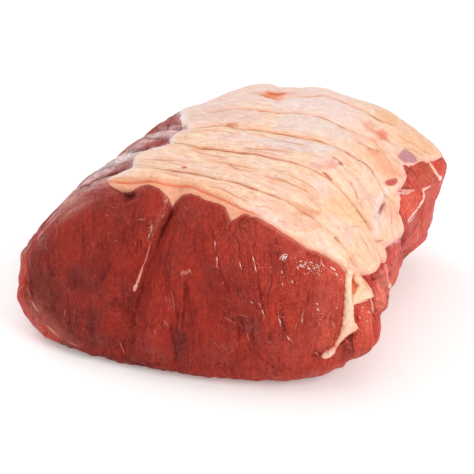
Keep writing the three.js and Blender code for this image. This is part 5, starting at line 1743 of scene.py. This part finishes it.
        # no quads across a jump in depth
        size = np.linalg.norm(top[q[:, 0]] - top[q[:, 2]], axis=1)
        q = q[size < 7.0]
        used, inv = np.unique(q, return_inverse=True)
        q = inv.reshape(q.shape)
        top, bottom, cols = top[used], bottom[used], cols[used]
        m = len(top)
        e = np.concatenate([q[:, [0, 1]], q[:, [1, 2]], q[:, [2, 3]], q[:, [3, 0]]])
        key = np.sort(e, 1)
        _, first, counts = np.unique(key[:, 0].astype(np.int64) * m + key[:, 1], return_index=True, return_counts=True)
        rim = e[first[counts == 1]]
        k = self.n
        self.V += [top, bottom]
        self.C += [cols, cols]
        self.F += [q + k, q[:, ::-1] + k + m, np.stack([rim[:, 1], rim[:, 0], rim[:, 0] + m, rim[:, 1] + m], -1) + k]
        self.n += 2 * m

    def done(self, name, mat=None):
        V = np.concatenate(self.V)
        C = np.concatenate(self.C)
        C = C * (1 + 0.08 * noise(V / 1.6, 77))[:, None]
        ob = make_mesh(name, V, np.concatenate(self.F), {"tint": np.clip(C, 0, 1)})
        ob.data.materials.append(mat or MAT_TISSUE)
        print(name, "faces", len(ob.data.polygons))
        return ob


def mix_rgb(a, b, t):
    t = min(max(t, 0.0), 1.0)
    return tuple(a[k] + (b[k] - a[k]) * t for k in range(3))


# --- the seam of fat down the near right corner, with its flap and curl ---
seam = Bits()
STRIP = [(346, 268), (345, 280), (345, 290), (344, 300), (343.5, 310), (343, 320), (341, 330), (338, 338), (334, 346), (336, 349),
         (340, 343), (345, 338), (350, 334), (356, 331), (358.5, 328), (355.5, 323), (353.5, 316), (354, 309), (353, 300),
         (352, 290), (352, 280), (353, 270)]


def strip_color(x, y, s):
    c = mix_rgb((254, 226, 198), (250, 208, 180), (y - 290) / 40)
    c = mix_rgb(c, (246, 184, 168), (y - 326) / 20)
    c = mix_rgb(c, (246, 168, 128), 0.7 * math.exp(-max(s, 0) / 0.5) if x < 347 else 0.3 * math.exp(-max(s, 0) / 0.5))
    return c


seam.pad(STRIP, 1.4, strip_color, step=0.8, edge=1.0, seed=31, bulge=lambda x, y: 0.5 * math.exp(-((x - 349) / 2.5) ** 2) + 0.2 * math.sin(0.55 * y + 0.5 * x), noise_mm=0.6)
CURL = [(321, 355), (325, 352), (330, 349), (334, 345.5), (336.5, 348), (335, 353), (331, 357), (326, 359), (322, 358)]
seam.pad(CURL, 2.0, lambda x, y, s: mix_rgb((236, 150, 138), (250, 206, 190), s / 0.8), step=0.7, edge=0.9, seed=32, noise_mm=0.5)
FLAP = [(353, 277), (356, 273), (359, 272), (362, 277), (367, 282.5), (371, 288.5), (374, 296), (371.5, 298.5), (368, 299), (363, 300.5),
        (358, 303), (354, 305), (351.5, 303), (351.5, 297), (355, 292), (357.5, 286), (354, 281.5)]


def flap_color(x, y, s):
    c = mix_rgb((251, 212, 172), (252, 222, 194), (x - 354) / 14)
    c = mix_rgb(c, (244, 178, 140), 0.8 * math.exp(-(((x - 366) / 5.0) ** 2 + ((y - 284) / 5.0) ** 2)))
    c = mix_rgb(c, (248, 226, 190), 0.7 * math.exp(-(((x - 355) / 3.0) ** 2 + ((y - 298) / 5.0) ** 2)))
    return mix_rgb(c, (244, 190, 160), 0.6 * math.exp(-max(s, 0) / 0.35))


seam.pad(FLAP, 1.7, flap_color, step=0.7, edge=0.8, seed=33,
         bulge=lambda x, y: 0.9 * math.exp(-(((x - 366) / 6.0) ** 2 + ((y - 294) / 6.0) ** 2)) + 0.25 * math.sin(x * 0.9 + y * 0.35), noise_mm=0.4)
HOLLOW = [(352, 281), (355, 281), (358.5, 285.5), (356, 290), (353.5, 296), (351.8, 297), (351.6, 288)]
seam.pad(HOLLOW, 0.15, lambda x, y, s: mix_rgb((196, 92, 40), (226, 116, 60), (y - 283) / 8), step=0.7, edge=0.6, seed=34, noise_mm=0.2)
seam.seen_ribbon([(370, 298), (372, 304), (373, 310), (373.5, 314)], [1.8, 1.1, 0.7], 0.5, (246, 190, 168), seed=35)
seam.seen_ribbon([(355, 304), (358, 303.2), (363, 301), (369, 300)], 0.9, 0.3, (244, 176, 150), seed=36)

# --- membranes, sinew, flecks and painted glints ---
bits = Bits()
glint_flecks = Bits()
WHITE_SEAMS = [
    ([(428, 160.5), (430.5, 164), (433.5, 169), (437, 174.5), (440, 178)], [1.3, 1.4, 1.5], 0.5, (254, 212, 178)),
    # painted highlight: the white lump at the seam's lower end
    ([(438.5, 176), (440.5, 178), (441.6, 180.5)], [1.8, 2.2, 1.5], 0.9, (255, 226, 216)),
    ([(441, 181), (439.5, 186), (437, 191)], [1.6, 0.9], 0.3, (224, 140, 110)),
    ([(412, 173), (416, 180), (420, 185.5), (423, 189.5)], [0.5, 0.8, 1.0], 0.2, (206, 128, 104)),
    ([(422.5, 189), (424, 194), (423.8, 199), (420, 205), (416, 211), (411, 217), (407, 222)], [1.8, 2.2, 1.9, 1.9, 2.2], 0.7, (254, 208, 192)),
    ([(421, 191), (426, 188.5), (431.5, 185.5)], [1.5, 1.5, 1.0], 0.5, (252, 196, 180)),
    ([(396, 189.5), (401, 190.5), (407, 191), (413, 190.5), (419, 190)], [1.5, 1.6, 1.8, 1.5, 1.2], 0.35, (242, 168, 158)),
    ([(396, 193.5), (400, 193), (406, 193.5), (412, 192)], [1.6, 1.4, 0.9], 0.3, (246, 190, 176)),
    ([(385, 262.5), (385.8, 267), (387, 273), (388, 279), (389.5, 285), (390, 290)], [1.0, 1.3, 1.2, 1.4, 2.2, 1.4], 0.35, (230, 140, 130)),
    ([(386, 263), (387, 270), (388.5, 278)], [0.9, 1.0, 0.8], 0.5, (238, 166, 160)),
    ([(388.5, 284), (390.5, 286.5), (390.5, 290)], [1.4, 2.2, 1.2], 0.6, (248, 206, 164)),
    ([(384, 298), (380.5, 302), (377, 306)], 0.7, 0.25, (214, 120, 112)),
    ([(404, 164), (407, 164.5), (412, 164), (418, 162.5)], [1.3, 1.4, 1.0], 0.4, (248, 200, 196)),
    ([(406, 224), (409, 222), (413, 219), (416, 214)], [1.6, 1.8, 1.0], 0.35, (216, 146, 148)),
    ([(398, 244), (396, 254), (393, 266), (390, 276)], [0.7, 0.9, 0.6], 0.25, (232, 128, 112)),
    ([(418, 214), (419, 222), (420, 232)], [0.5, 0.6, 0.4], 0.2, (218, 120, 112)),
    ([(402, 238), (398, 241), (392, 243.5), (386, 248)], [1.4, 1.5, 1.1, 0.7], 0.35, (226, 160, 164)),
]
# sinew and membrane lines; the short pale strokes starting at (214, 241), (215.5, 258), (239, 262), (253, 256), (257,
# 302), (262.5, 309), (278.5, 314), (279.5, 258.5), (285.5, 333), (331, 267.5), (334.5, 272) and (314, 351.5) are
# painted glints
STRANDS = [
    ([(151, 241), (148.5, 250), (146, 259), (143.5, 266)], [0.6, 0.8, 0.9, 1.0], 0.35, (206, 122, 108)),
    ([(143.5, 264), (141, 272), (138, 281), (135.5, 287)], [0.9, 1.2, 1.6, 1.9], 0.6, (232, 158, 142)),
    ([(137, 283), (135, 288), (134, 292)], [1.9, 2.3, 1.7], 0.8, (236, 170, 156)),
    ([(181, 276.5), (181.5, 272), (186, 272.5), (188.5, 268.5)], [2.0, 2.4, 1.8, 0.6], 0.3, (206, 124, 112)),
    ([(183, 275), (187, 273), (190, 271), (192, 275)], [1.4, 1.6, 1.4, 0.7], 0.3, (202, 118, 106)),
    ([(304.5, 309), (302.5, 314), (301.5, 319), (302.5, 323)], [0.9, 0.9, 0.7], 0.35, (222, 140, 122)),
    ([(297, 323), (295.3, 327), (295, 331)], [0.8, 0.9, 0.6], 0.3, (216, 134, 116)),
    ([(331, 321), (333.5, 324), (334.5, 328)], [0.8, 1.0, 0.7], 0.3, (226, 150, 134)),
    ([(262.5, 309), (264, 315), (264, 321)], [0.6, 0.9, 0.6], 0.3, (220, 140, 124)),
    ([(257, 302), (260, 304.5), (261.5, 308)], [0.8, 1.0, 0.6], 0.3, (224, 146, 130)),
    ([(278.5, 314), (278.8, 319), (280.5, 325), (280.8, 328)], [0.7, 0.8, 0.9, 0.5], 0.3, (226, 150, 132)),
    ([(285.5, 333), (288, 337), (291.5, 341), (294, 346)], [0.6, 0.9, 0.8, 0.5], 0.3, (216, 128, 112)),
    ([(214, 241), (215, 247), (216.5, 253)], [0.6, 0.8, 0.5], 0.25, (214, 128, 114)),
    ([(215.5, 258), (217.5, 262), (216.5, 266), (219.5, 269)], [0.9, 1.3, 1.1, 0.6], 0.35, (232, 160, 146)),
    ([(239, 262), (240.5, 266), (242, 271)], [0.6, 0.9, 0.6], 0.3, (230, 152, 138)),
    ([(253, 256), (254, 261), (255.5, 267), (256, 270)], [0.8, 1.0, 1.0, 0.6], 0.3, (232, 156, 142)),
    ([(279.5, 258.5), (282, 256), (286, 253.5)], [1.3, 1.9, 1.2], 0.45, (240, 176, 162)),
    ([(319, 252), (321, 257), (321, 263), (319, 270)], [0.7, 0.9, 0.8, 0.5], 0.3, (230, 130, 106)),
    ([(321.5, 262), (326, 268), (331, 272), (336, 274), (341, 281)], [0.7, 0.8, 0.9, 0.8, 0.5], 0.3, (236, 140, 118)),
    ([(331, 267.5), (334, 269)], [1.6, 1.4], 0.5, (248, 200, 190)), ([(334.5, 272), (339, 275)], [1.0, 1.2], 0.4, (246, 190, 176)),
    ([(340, 276), (342, 280), (343.5, 285)], [0.6, 0.9, 0.5], 0.3, (244, 150, 134)),
    ([(163, 319), (166, 323), (169.5, 329)], [0.8, 1.0, 0.6], 0.3, (206, 118, 100)),
    ([(170, 287), (172.5, 296), (174, 305), (175, 316)], [0.5, 0.6, 0.6, 0.4], 0.2, (190, 100, 88)),
    ([(181, 316), (179.5, 326), (178, 333)], [0.5, 0.6, 0.4], 0.2, (190, 98, 86)),
    ([(119.5, 341), (121.5, 347), (124, 352), (126, 355)], [0.6, 0.9, 0.9, 0.5], 0.3, (214, 132, 116)),
    ([(126, 355), (132, 359.5), (141, 363), (152, 365)], [0.5, 0.5, 0.4], 0.2, (180, 92, 80)),
    ([(65, 309), (65, 317)], [0.8, 0.8], 0.3, (200, 116, 104)),
    ([(43, 321), (50, 330), (58, 336), (61, 341)], [0.6, 0.8, 1.1, 0.6], 0.3, (206, 130, 118)),
    ([(52, 333), (57, 335.5), (60, 339)], [0.8, 1.3, 0.7], 0.3, (214, 142, 130)),
    ([(30, 301), (36, 310), (42, 318)], [0.6, 0.7, 0.5], 0.2, (176, 96, 92)),
    ([(31, 300), (35, 307), (39, 313)], [0.9, 1.3, 0.8], 0.35, (236, 184, 174)), ([(46, 325), (53, 331), (60, 337)], [0.9, 1.4, 0.8], 0.35, (232, 176, 164)),
    ([(25, 262), (26, 270), (25.5, 277)], [0.7, 1.0, 0.6], 0.3, (236, 150, 124)), ([(37, 241), (39, 236), (44, 230)], [1.1, 1.5, 0.8], 0.35, (236, 200, 200)),
    ([(27, 285), (28, 291), (31, 297)], [0.6, 0.9, 0.5], 0.3, (226, 140, 120)), ([(66, 340), (73, 344), (80, 347)], [0.6, 1.0, 0.6], 0.3, (214, 140, 126)),
    ([(45, 243), (50, 233), (58, 224), (67, 218), (75, 215)], [0.6, 0.7, 0.7, 0.6, 0.4], 0.25, (170, 98, 94)),
    ([(36, 247), (40, 241), (45, 236)], [0.8, 1.0, 0.8], 0.3, (188, 130, 130)),
    ([(23.5, 254), (26, 252), (29, 247), (32, 243)], [1.6, 1.6, 1.1, 0.7], 0.4, (226, 160, 148)),
    ([(46, 240), (45.5, 246), (47, 252)], [0.5, 0.6, 0.5], 0.2, (196, 116, 104)),
    ([(59, 213), (66, 208.5), (74, 206.5), (79, 201.5), (83, 198.5)], [0.5, 0.6, 0.6, 0.9], 0.25, (188, 102, 92)),
    ([(83, 199), (85.5, 197)], [1.3, 1.1], 0.35, (222, 142, 132)), ([(88, 200), (92, 201), (97, 204)], 0.5, 0.2, (196, 108, 98)),
    ([(101, 207), (107, 204.5), (114, 208), (121, 206.5)], 0.5, 0.2, (186, 98, 88)),
    ([(106, 214.5), (108.5, 216.5)], [1.4, 1.2], 0.4, (204, 116, 100)), ([(66, 202), (69.5, 203.5)], [0.9, 0.7], 0.3, (216, 128, 118)),
    ([(124, 203), (131, 202), (138, 199), (146, 196.5)], 0.5, 0.2, (186, 100, 92)),
    ([(136, 221), (140, 219), (143, 220), (147, 217)], [0.8, 1.0, 0.6], 0.25, (204, 112, 98)),
    ([(133.5, 240), (136, 246)], [0.6, 0.6], 0.2, (206, 112, 98)), ([(112, 243), (116, 240), (119, 241)], 0.5, 0.2, (190, 98, 86)),
    ([(94, 275), (96, 277)], [1.0, 0.9], 0.3, (206, 96, 76)), ([(93, 321.5), (95.5, 322.5)], [0.9, 0.9], 0.3, (210, 120, 104)),
    ([(119, 280.5), (122, 281)], [0.6, 0.6], 0.2, (206, 116, 100)), ([(106, 295), (110, 294)], 0.6, 0.2, (188, 92, 80)),
    ([(154, 330), (155.5, 334)], [1.0, 0.8], 0.3, (220, 130, 110)), ([(96, 338.5), (98, 340)], 0.7, 0.2, (196, 96, 78)),
    ([(213, 330), (216, 336)], 0.6, 0.2, (196, 96, 80)), ([(222, 282), (224, 283.5)], [0.9, 0.8], 0.3, (236, 160, 144)),
    ([(249, 300.5), (251.5, 302.5)], [0.8, 0.8], 0.3, (226, 140, 124)), ([(268, 341), (271.5, 344)], [0.6, 0.9], 0.3, (230, 146, 130)),
    ([(246, 331), (248.5, 339), (250, 343)], [0.6, 0.9, 0.5], 0.3, (206, 112, 98)),
    ([(222, 316), (229, 319.5), (235, 324)], [0.4, 0.6, 0.4], 0.2, (190, 100, 86)),
    ([(226, 298), (230, 303)], 0.6, 0.2, (192, 98, 84)), ([(237, 315), (244, 315.5), (249, 318)], [0.4, 0.7, 0.4], 0.25, (196, 106, 92)),
    ([(213, 341), (218, 346), (222, 350)], 0.5, 0.2, (190, 92, 78)), ([(204, 356), (208, 361), (215, 364)], 0.6, 0.2, (186, 88, 72)),
    ([(314, 351.5), (317, 353), (319, 356)], [0.7, 1.0, 0.6], 0.3, (230, 150, 134)), ([(295, 350), (298, 351)], 0.7, 0.3, (226, 140, 124)),
    ([(271, 375), (276, 378), (283, 378)], [0.5, 0.9, 0.5], 0.3, (206, 110, 96)), ([(252, 377.5), (260, 378)], 0.7, 0.3, (204, 130, 120)),
    ([(343, 337), (346, 340), (349, 344)], [0.6, 0.8, 0.5], 0.25, (214, 120, 106)), ([(352, 345), (351, 351)], 0.5, 0.2, (206, 112, 100)),
]
for px, wd, th, rgb in WHITE_SEAMS:
    wide = 1.25 if px[0][0] > 395 else 1.1
    bits.seen_ribbon(px, np.atleast_1d(wd) * wide, th * 0.32, rgb, seed=len(px) + int(px[0][0]), across=8, edge_rgb=(226, 128, 112), taper=0.25, lump=0.55)
for px, wd, th, rgb in STRANDS:
    main = 130 < px[0][0] < 160 and 240 < px[0][1] < 290
    k = 1.0 if main else 0.72
    bits.seen_ribbon(px, np.atleast_1d(wd) * k, th * k, rgb if main else mix_rgb(rgb, (176, 62, 50), 0.28), seed=len(px) + int(px[0][0]), across=4)

# sprinkles of painted glints, near-white, where the wet face turns up to the fat, and of pale fleck along the left of
# the valley
SPRINKLE = [
    # centre, spread, how many, size mm, colour
    ((303, 264), (6, 4), 16, 0.48, (255, 236, 226)), ((315, 266), (7, 6), 24, 0.44, (255, 232, 222)), ((283, 257), (3.2, 3), 8, 0.46, (255, 236, 226)),
    ((320, 272), (5, 5), 24, 0.38, (255, 232, 222)), ((256, 266), (5, 8), 14, 0.38, (250, 214, 204)), ((318, 309), (6, 7), 20, 0.36, (255, 226, 214)),
    ((281, 318), (3, 8), 14, 0.36, (255, 226, 214)), ((288, 275), (10, 12), 24, 0.34, (250, 200, 186)), ((335, 300), (9, 14), 20, 0.34, (250, 190, 176)),
    ((300, 264), (5, 4), 10, 0.8, (255, 222, 212)), ((283, 256), (3.4, 2.4), 7, 0.9, (255, 236, 228)), ((315, 268), (5, 7), 26, 0.55, (254, 216, 202)), ((333, 269), (3, 2.5), 9, 0.8, (255, 228, 220)), ((290, 262), (12, 8), 22, 0.42, (246, 96, 66)), ((306, 270), (4, 4), 9, 0.7, (240, 170, 150)),
    ((165.5, 198), (1.8, 9), 30, 0.5, (230, 170, 150)), ((151, 230), (2.0, 8), 30, 0.5, (238, 166, 150)), ((163, 214), (1.8, 6), 14, 0.5, (214, 146, 128)),
    ((365, 311), (5, 8), 40, 0.6, (252, 176, 146)), ((366, 325), (5, 4), 12, 0.55, (246, 168, 146)), ((361, 334), (4, 4), 8, 0.5, (240, 160, 140)),
    ((318, 310), (5, 8), 12, 0.5, (226, 146, 128)), ((324, 318), (6, 5), 10, 0.5, (222, 140, 124)), ((292, 285), (12, 12), 18, 0.5, (224, 134, 116)),
    ((340, 279), (2.5, 6), 16, 0.6, (248, 160, 146)), ((282, 275), (4, 8), 9, 0.6, (230, 146, 130)), ((270, 268), (3, 4), 5, 0.7, (234, 150, 134)),
    ((348, 344), (4, 5), 14, 0.5, (222, 120, 108)), ((130, 160), (3, 3), 4, 0.9, (246, 214, 210)), ((330, 290), (8, 8), 10, 0.45, (226, 140, 124)),
    ((380, 285), (6, 12), 14, 0.5, (240, 150, 134)), ((398, 262), (5, 10), 12, 0.5, (242, 150, 134)), ((410, 203), (6, 8), 16, 0.5, (250, 176, 154)),
    ((425, 176), (8, 8), 14, 0.5, (226, 126, 106)), ((407, 157), (5, 3), 26, 0.34, (250, 220, 226)), ((390, 183), (5, 3.4), 16, 0.34, (252, 206, 206)),
    ((410, 163), (6, 1.4), 16, 0.36, (254, 226, 226)), ((60, 270), (22, 30), 26, 0.45, (196, 100, 88)), ((210, 260), (50, 40), 40, 0.45, (206, 106, 92)),
    ((250, 330), (50, 24), 44, 0.45, (208, 108, 94)), ((110, 320), (40, 24), 30, 0.45, (190, 92, 80)), ((310, 320), (20, 24), 22, 0.45, (220, 130, 114)),
]
for (cx, cy), (sx, sy), count, size, rgb in SPRINKLE:
    for _ in range(count):
        a = cx + rng.normal() * sx * 0.55
        b = cy + rng.normal() * sy * 0.55
        ln = size * (0.7 + 0.9 * rng.random()) / 0.54
        th = rng.normal() * 0.5 + (0.2 if cx > 200 else -0.2)
        tint_k = 0.8 + 0.35 * rng.random()
        col = tuple(min(255, v * tint_k) for v in rgb)
        # the small near-white sprinkles go with the painted glints; the larger near-white ones are painted glints too,
        # in the sinew mesh
        heap = glint_flecks if size <= 0.5 and min(rgb) > 210 else bits
        heap.seen_ribbon([(a, b), (a + math.sin(th) * ln * 0.5, b + math.cos(th) * ln * 0.5), (a + math.sin(th) * ln, b + math.cos(th) * ln)],
                         size * (0.6 + 0.5 * rng.random()), 0.22, col, step=0.3 if size <= 0.5 else 0.8, taper=0.45, across=4, seed=int(a))


# painted glints: drawn-out pale strokes where the wet grain catches the light; the pinker ones, left of x 200, are pale
# flecks of membrane
PAINTED_GLINTS = [
    ([(279, 259.5), (281, 257.4), (283, 256.2), (285, 254.6), (287, 254.2)], 0.62), ([(281.5, 260.5), (283.4, 258.8), (284.6, 257)], 0.5),
    ([(284, 258), (286, 256.8), (287.6, 256.4)], 0.66), ([(299, 262), (300.6, 260.8), (302.4, 262.2)], 0.52), ([(300.5, 265), (302, 266.6), (304, 266)], 0.5),
    ([(304, 261.5), (306, 263), (305, 265.5)], 0.46), ([(307, 266), (308.6, 268.4), (311, 269.5)], 0.52), ([(309, 263), (311, 262), (312.8, 264)], 0.46),
    ([(313, 267), (314.2, 268.2), (315, 269.8)], 0.5), ([(316, 263.5), (317.8, 265.4), (318.4, 268)], 0.44), ([(320, 261), (322, 264), (324.6, 267)], 0.4),
    ([(330, 266.4), (332, 267.8), (334, 269), (335.6, 271)], 0.84), ([(335, 274), (336.6, 275), (338, 276.6)], 0.55), ([(296.5, 266), (298, 268), (298, 270)], 0.44),
    ([(252.5, 256), (253.4, 260), (254, 263)], 0.42), ([(254.5, 265), (255.5, 268), (255, 270.5)], 0.48), ([(239.5, 262), (240.5, 265.5), (241.5, 269)], 0.42),
    ([(216, 256), (217.4, 260), (216.2, 263)], 0.5), ([(214.6, 240), (215, 243), (215.4, 246)], 0.34), ([(281.5, 270), (282, 272), (282.5, 274)], 0.4),
    ([(292, 280), (292.4, 282), (293, 283.6)], 0.44), ([(282, 283), (282.6, 284.2), (283, 285.6)], 0.5), ([(251, 302), (252.2, 302.6), (253, 303.8)], 0.46),
    ([(262, 310), (262.6, 312), (263, 314)], 0.4), ([(279, 318), (280.4, 322), (280, 326)], 0.42), ([(316, 303), (317.2, 303.8), (318, 305)], 0.48),
    ([(317, 308), (317.8, 309.6), (318.5, 311.4)], 0.5), ([(336, 307), (337, 307.8), (338, 309)], 0.4), ([(287, 336), (288.2, 338.4), (290, 340.6)], 0.36),
    ([(303, 318), (302.2, 320.4), (302, 323)], 0.36), ([(362, 306), (363, 307.4), (363.4, 309)], 0.42), ([(368, 311), (369.2, 312), (370, 313.6)], 0.42),
    ([(359, 316), (360, 317.4), (360.4, 319)], 0.38), ([(366, 320), (367, 321.2), (367.4, 323)], 0.38), ([(152.4, 226), (151.6, 229), (151, 232)], 0.4),
    ([(149.6, 233), (148.8, 236), (148.6, 238.4)], 0.44), ([(166.6, 197), (167.4, 200), (167, 203)], 0.4), ([(188.6, 268.6), (190, 270.4), (191, 272.4)], 0.4),
]
for px, wd in PAINTED_GLINTS:
    glint_flecks.seen_ribbon(px, wd, 0.26, (255, 234, 222) if px[0][0] > 200 else (240, 192, 176), step=0.3, taper=0.5, across=4, seed=int(px[0][0]))


def strand_on(direction, along, length, width, thick, rgb, seed):
    """A thin strand on a side the picture does not show, starting in a direction from the core and running along a heading."""
    hit = skin.toward(direction)
    if hit is None:
        return
    p, n = hit
    P, N = [p], [n]
    heading = np.array(along, float)
    for k in range(max(2, int(length / 0.9))):
        heading = heading - (heading @ n) * n
        heading /= np.linalg.norm(heading) + 1e-9
        bend = np.cross(n, heading)
        heading = heading + bend * 0.12 * math.sin(k * 0.37 + seed) + bend * 0.05 * math.sin(k * 1.1 + 2 * seed)
        q = p + heading * 0.9
        q = skin.drop(q, n, 3.0)
        if q[2] < 1.5:
            break
        step = q - p
        h2 = skin.toward(q - CORE)
        if h2 is not None:
            n = h2[1]
        p = q
        P.append(p)
        N.append(n)
    if len(P) < 3:
        return
    N = np.array(N)
    for _ in range(2):
        N[1:-1] = N[:-2] + 2 * N[1:-1] + N[2:]
        N /= np.linalg.norm(N, axis=1, keepdims=True)
    bits.ribbon(np.array(P), N, width, thick, rgb, across=4, seed=seed)


# the far cut end: marbling and membrane like the near one
for k in range(46):
    u, v = rng.uniform(-70, 62), rng.uniform(8, 78)
    upright = np.array([0.25 * rng.normal(), 0.0, 1.0])
    big = rng.random() < 0.2
    strand_on((u, 88.0, v - 42.0), upright, rng.uniform(5, 22) if big else rng.uniform(1.5, 7), rng.uniform(0.7, 1.5) if big else rng.uniform(0.4, 0.8),
              0.35, mix_rgb((206, 110, 96), (238, 170, 154), rng.random()), k + 1)
# both long sides: thin silver lines along the rings
for k in range(44):
    sgn = 1 if k % 4 == 0 else -1
    y0 = rng.uniform(-62, 66)
    z0 = rng.uniform(-30, 34)
    if sgn > 0 and z0 > -4:
        continue
    strand_on((sgn * 95.0, y0, z0), (0.0, 0.25 * rng.normal(), 1.0), rng.uniform(3, 14), rng.uniform(0.4, 0.8), 0.2,
              mix_rgb((204, 120, 112), (240, 190, 178), rng.random()), k + 60)

seam_ob = seam.done("seam_fat")
bits_ob = bits.done("sinew_membrane_and_painted_glints")
glint_flecks_ob = glint_flecks.done("painted_glints_and_pale_flecks", MAT_GLINT_FLECK)

for ob, node, slot in ((lean, "lean", "raw_lean"), (fat, "fat_cap", "raw_fat")):
    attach(ob, "root")
    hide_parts(node)
for ob in (seam_ob, bits_ob, glint_flecks_ob):
    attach(ob, "root")


# =====================================================================
# Stage, light and camera
# =====================================================================
def build_stage():
    me = bpy.data.meshes.new("floor")
    s = 6.0
    me.from_pydata([(-s, -s, 0), (s, -s, 0), (s, s, 0), (-s, s, 0)], [], [(0, 1, 2, 3)])
    ob = bpy.data.objects.new("floor", me)
    bpy.context.scene.collection.objects.link(ob)
    m, nt, p = new_material("pale_floor")
    p.inputs["Base Color"].default_value = (0.93, 0.93, 0.93, 1)
    p.inputs["Roughness"].default_value = 0.9
    p.inputs["Specular IOR Level"].default_value = 0.1
    p.inputs["Emission Color"].default_value = (1, 1, 1, 1)
    p.inputs["Emission Strength"].default_value = 0.20
    me.materials.append(m)


def area(name, loc, target, size, power, color=(1, 1, 1), size_y=None):
    li = bpy.data.lights.new(name, "AREA")
    li.energy = power
    li.color = color
    li.size = size
    if size_y:
        li.shape = "RECTANGLE"
        li.size_y = size_y
    ob = bpy.data.objects.new(name, li)
    bpy.context.scene.collection.objects.link(ob)
    ob.location = loc
    ob.rotation_euler = (Vector(target) - Vector(loc)).to_track_quat("-Z", "Y").to_euler()
    return ob


build_stage()
w = bpy.data.worlds.new("studio")
bpy.context.scene.world = w
w.use_nodes = True
bg = w.node_tree.nodes["Background"]
bg.inputs[0].default_value = (1.0, 0.99, 0.98, 1)
bg.inputs[1].default_value = 0.50
area("key", (1.10, -0.62, 0.95), (0, 0, 0.05), 0.85, 10.2, (1.0, 0.98, 0.955))
area("spark", (0.60, -1.23, 1.02), (0.04, -0.04, 0.06), 0.12, 1.7, (1.0, 0.99, 0.97))
area("fill", (-1.0, 0.50, 1.0), (0, 0, 0.06), 0.9, 7.0, (1.0, 1.0, 1.0))
area("top", (0.1, 0.10, 1.6), (0, 0, 0.0), 1.4, 4.6)

cam_data = bpy.data.cameras.new("camera")
cam_data.sensor_fit = "HORIZONTAL"
cam_data.sensor_width = 36.0
cam_data.lens = FOCAL / IMAGE * 36.0
cam_data.clip_start = 0.05
cam_data.clip_end = 30.0
cam = bpy.data.objects.new("camera", cam_data)
bpy.context.scene.collection.objects.link(cam)
eye = (EYE + SHIFT) / 1000.0
rot = Matrix((RIGHT_V, UP_V, BACK)).transposed()
cam.matrix_world = Matrix.Translation(Vector(eye)) @ rot.to_4x4()
bpy.context.scene.camera = cam
bpy.context.scene.view_settings.view_transform = "Standard"
bpy.context.scene.view_settings.look = "None"

bpy.context.view_layer.update()
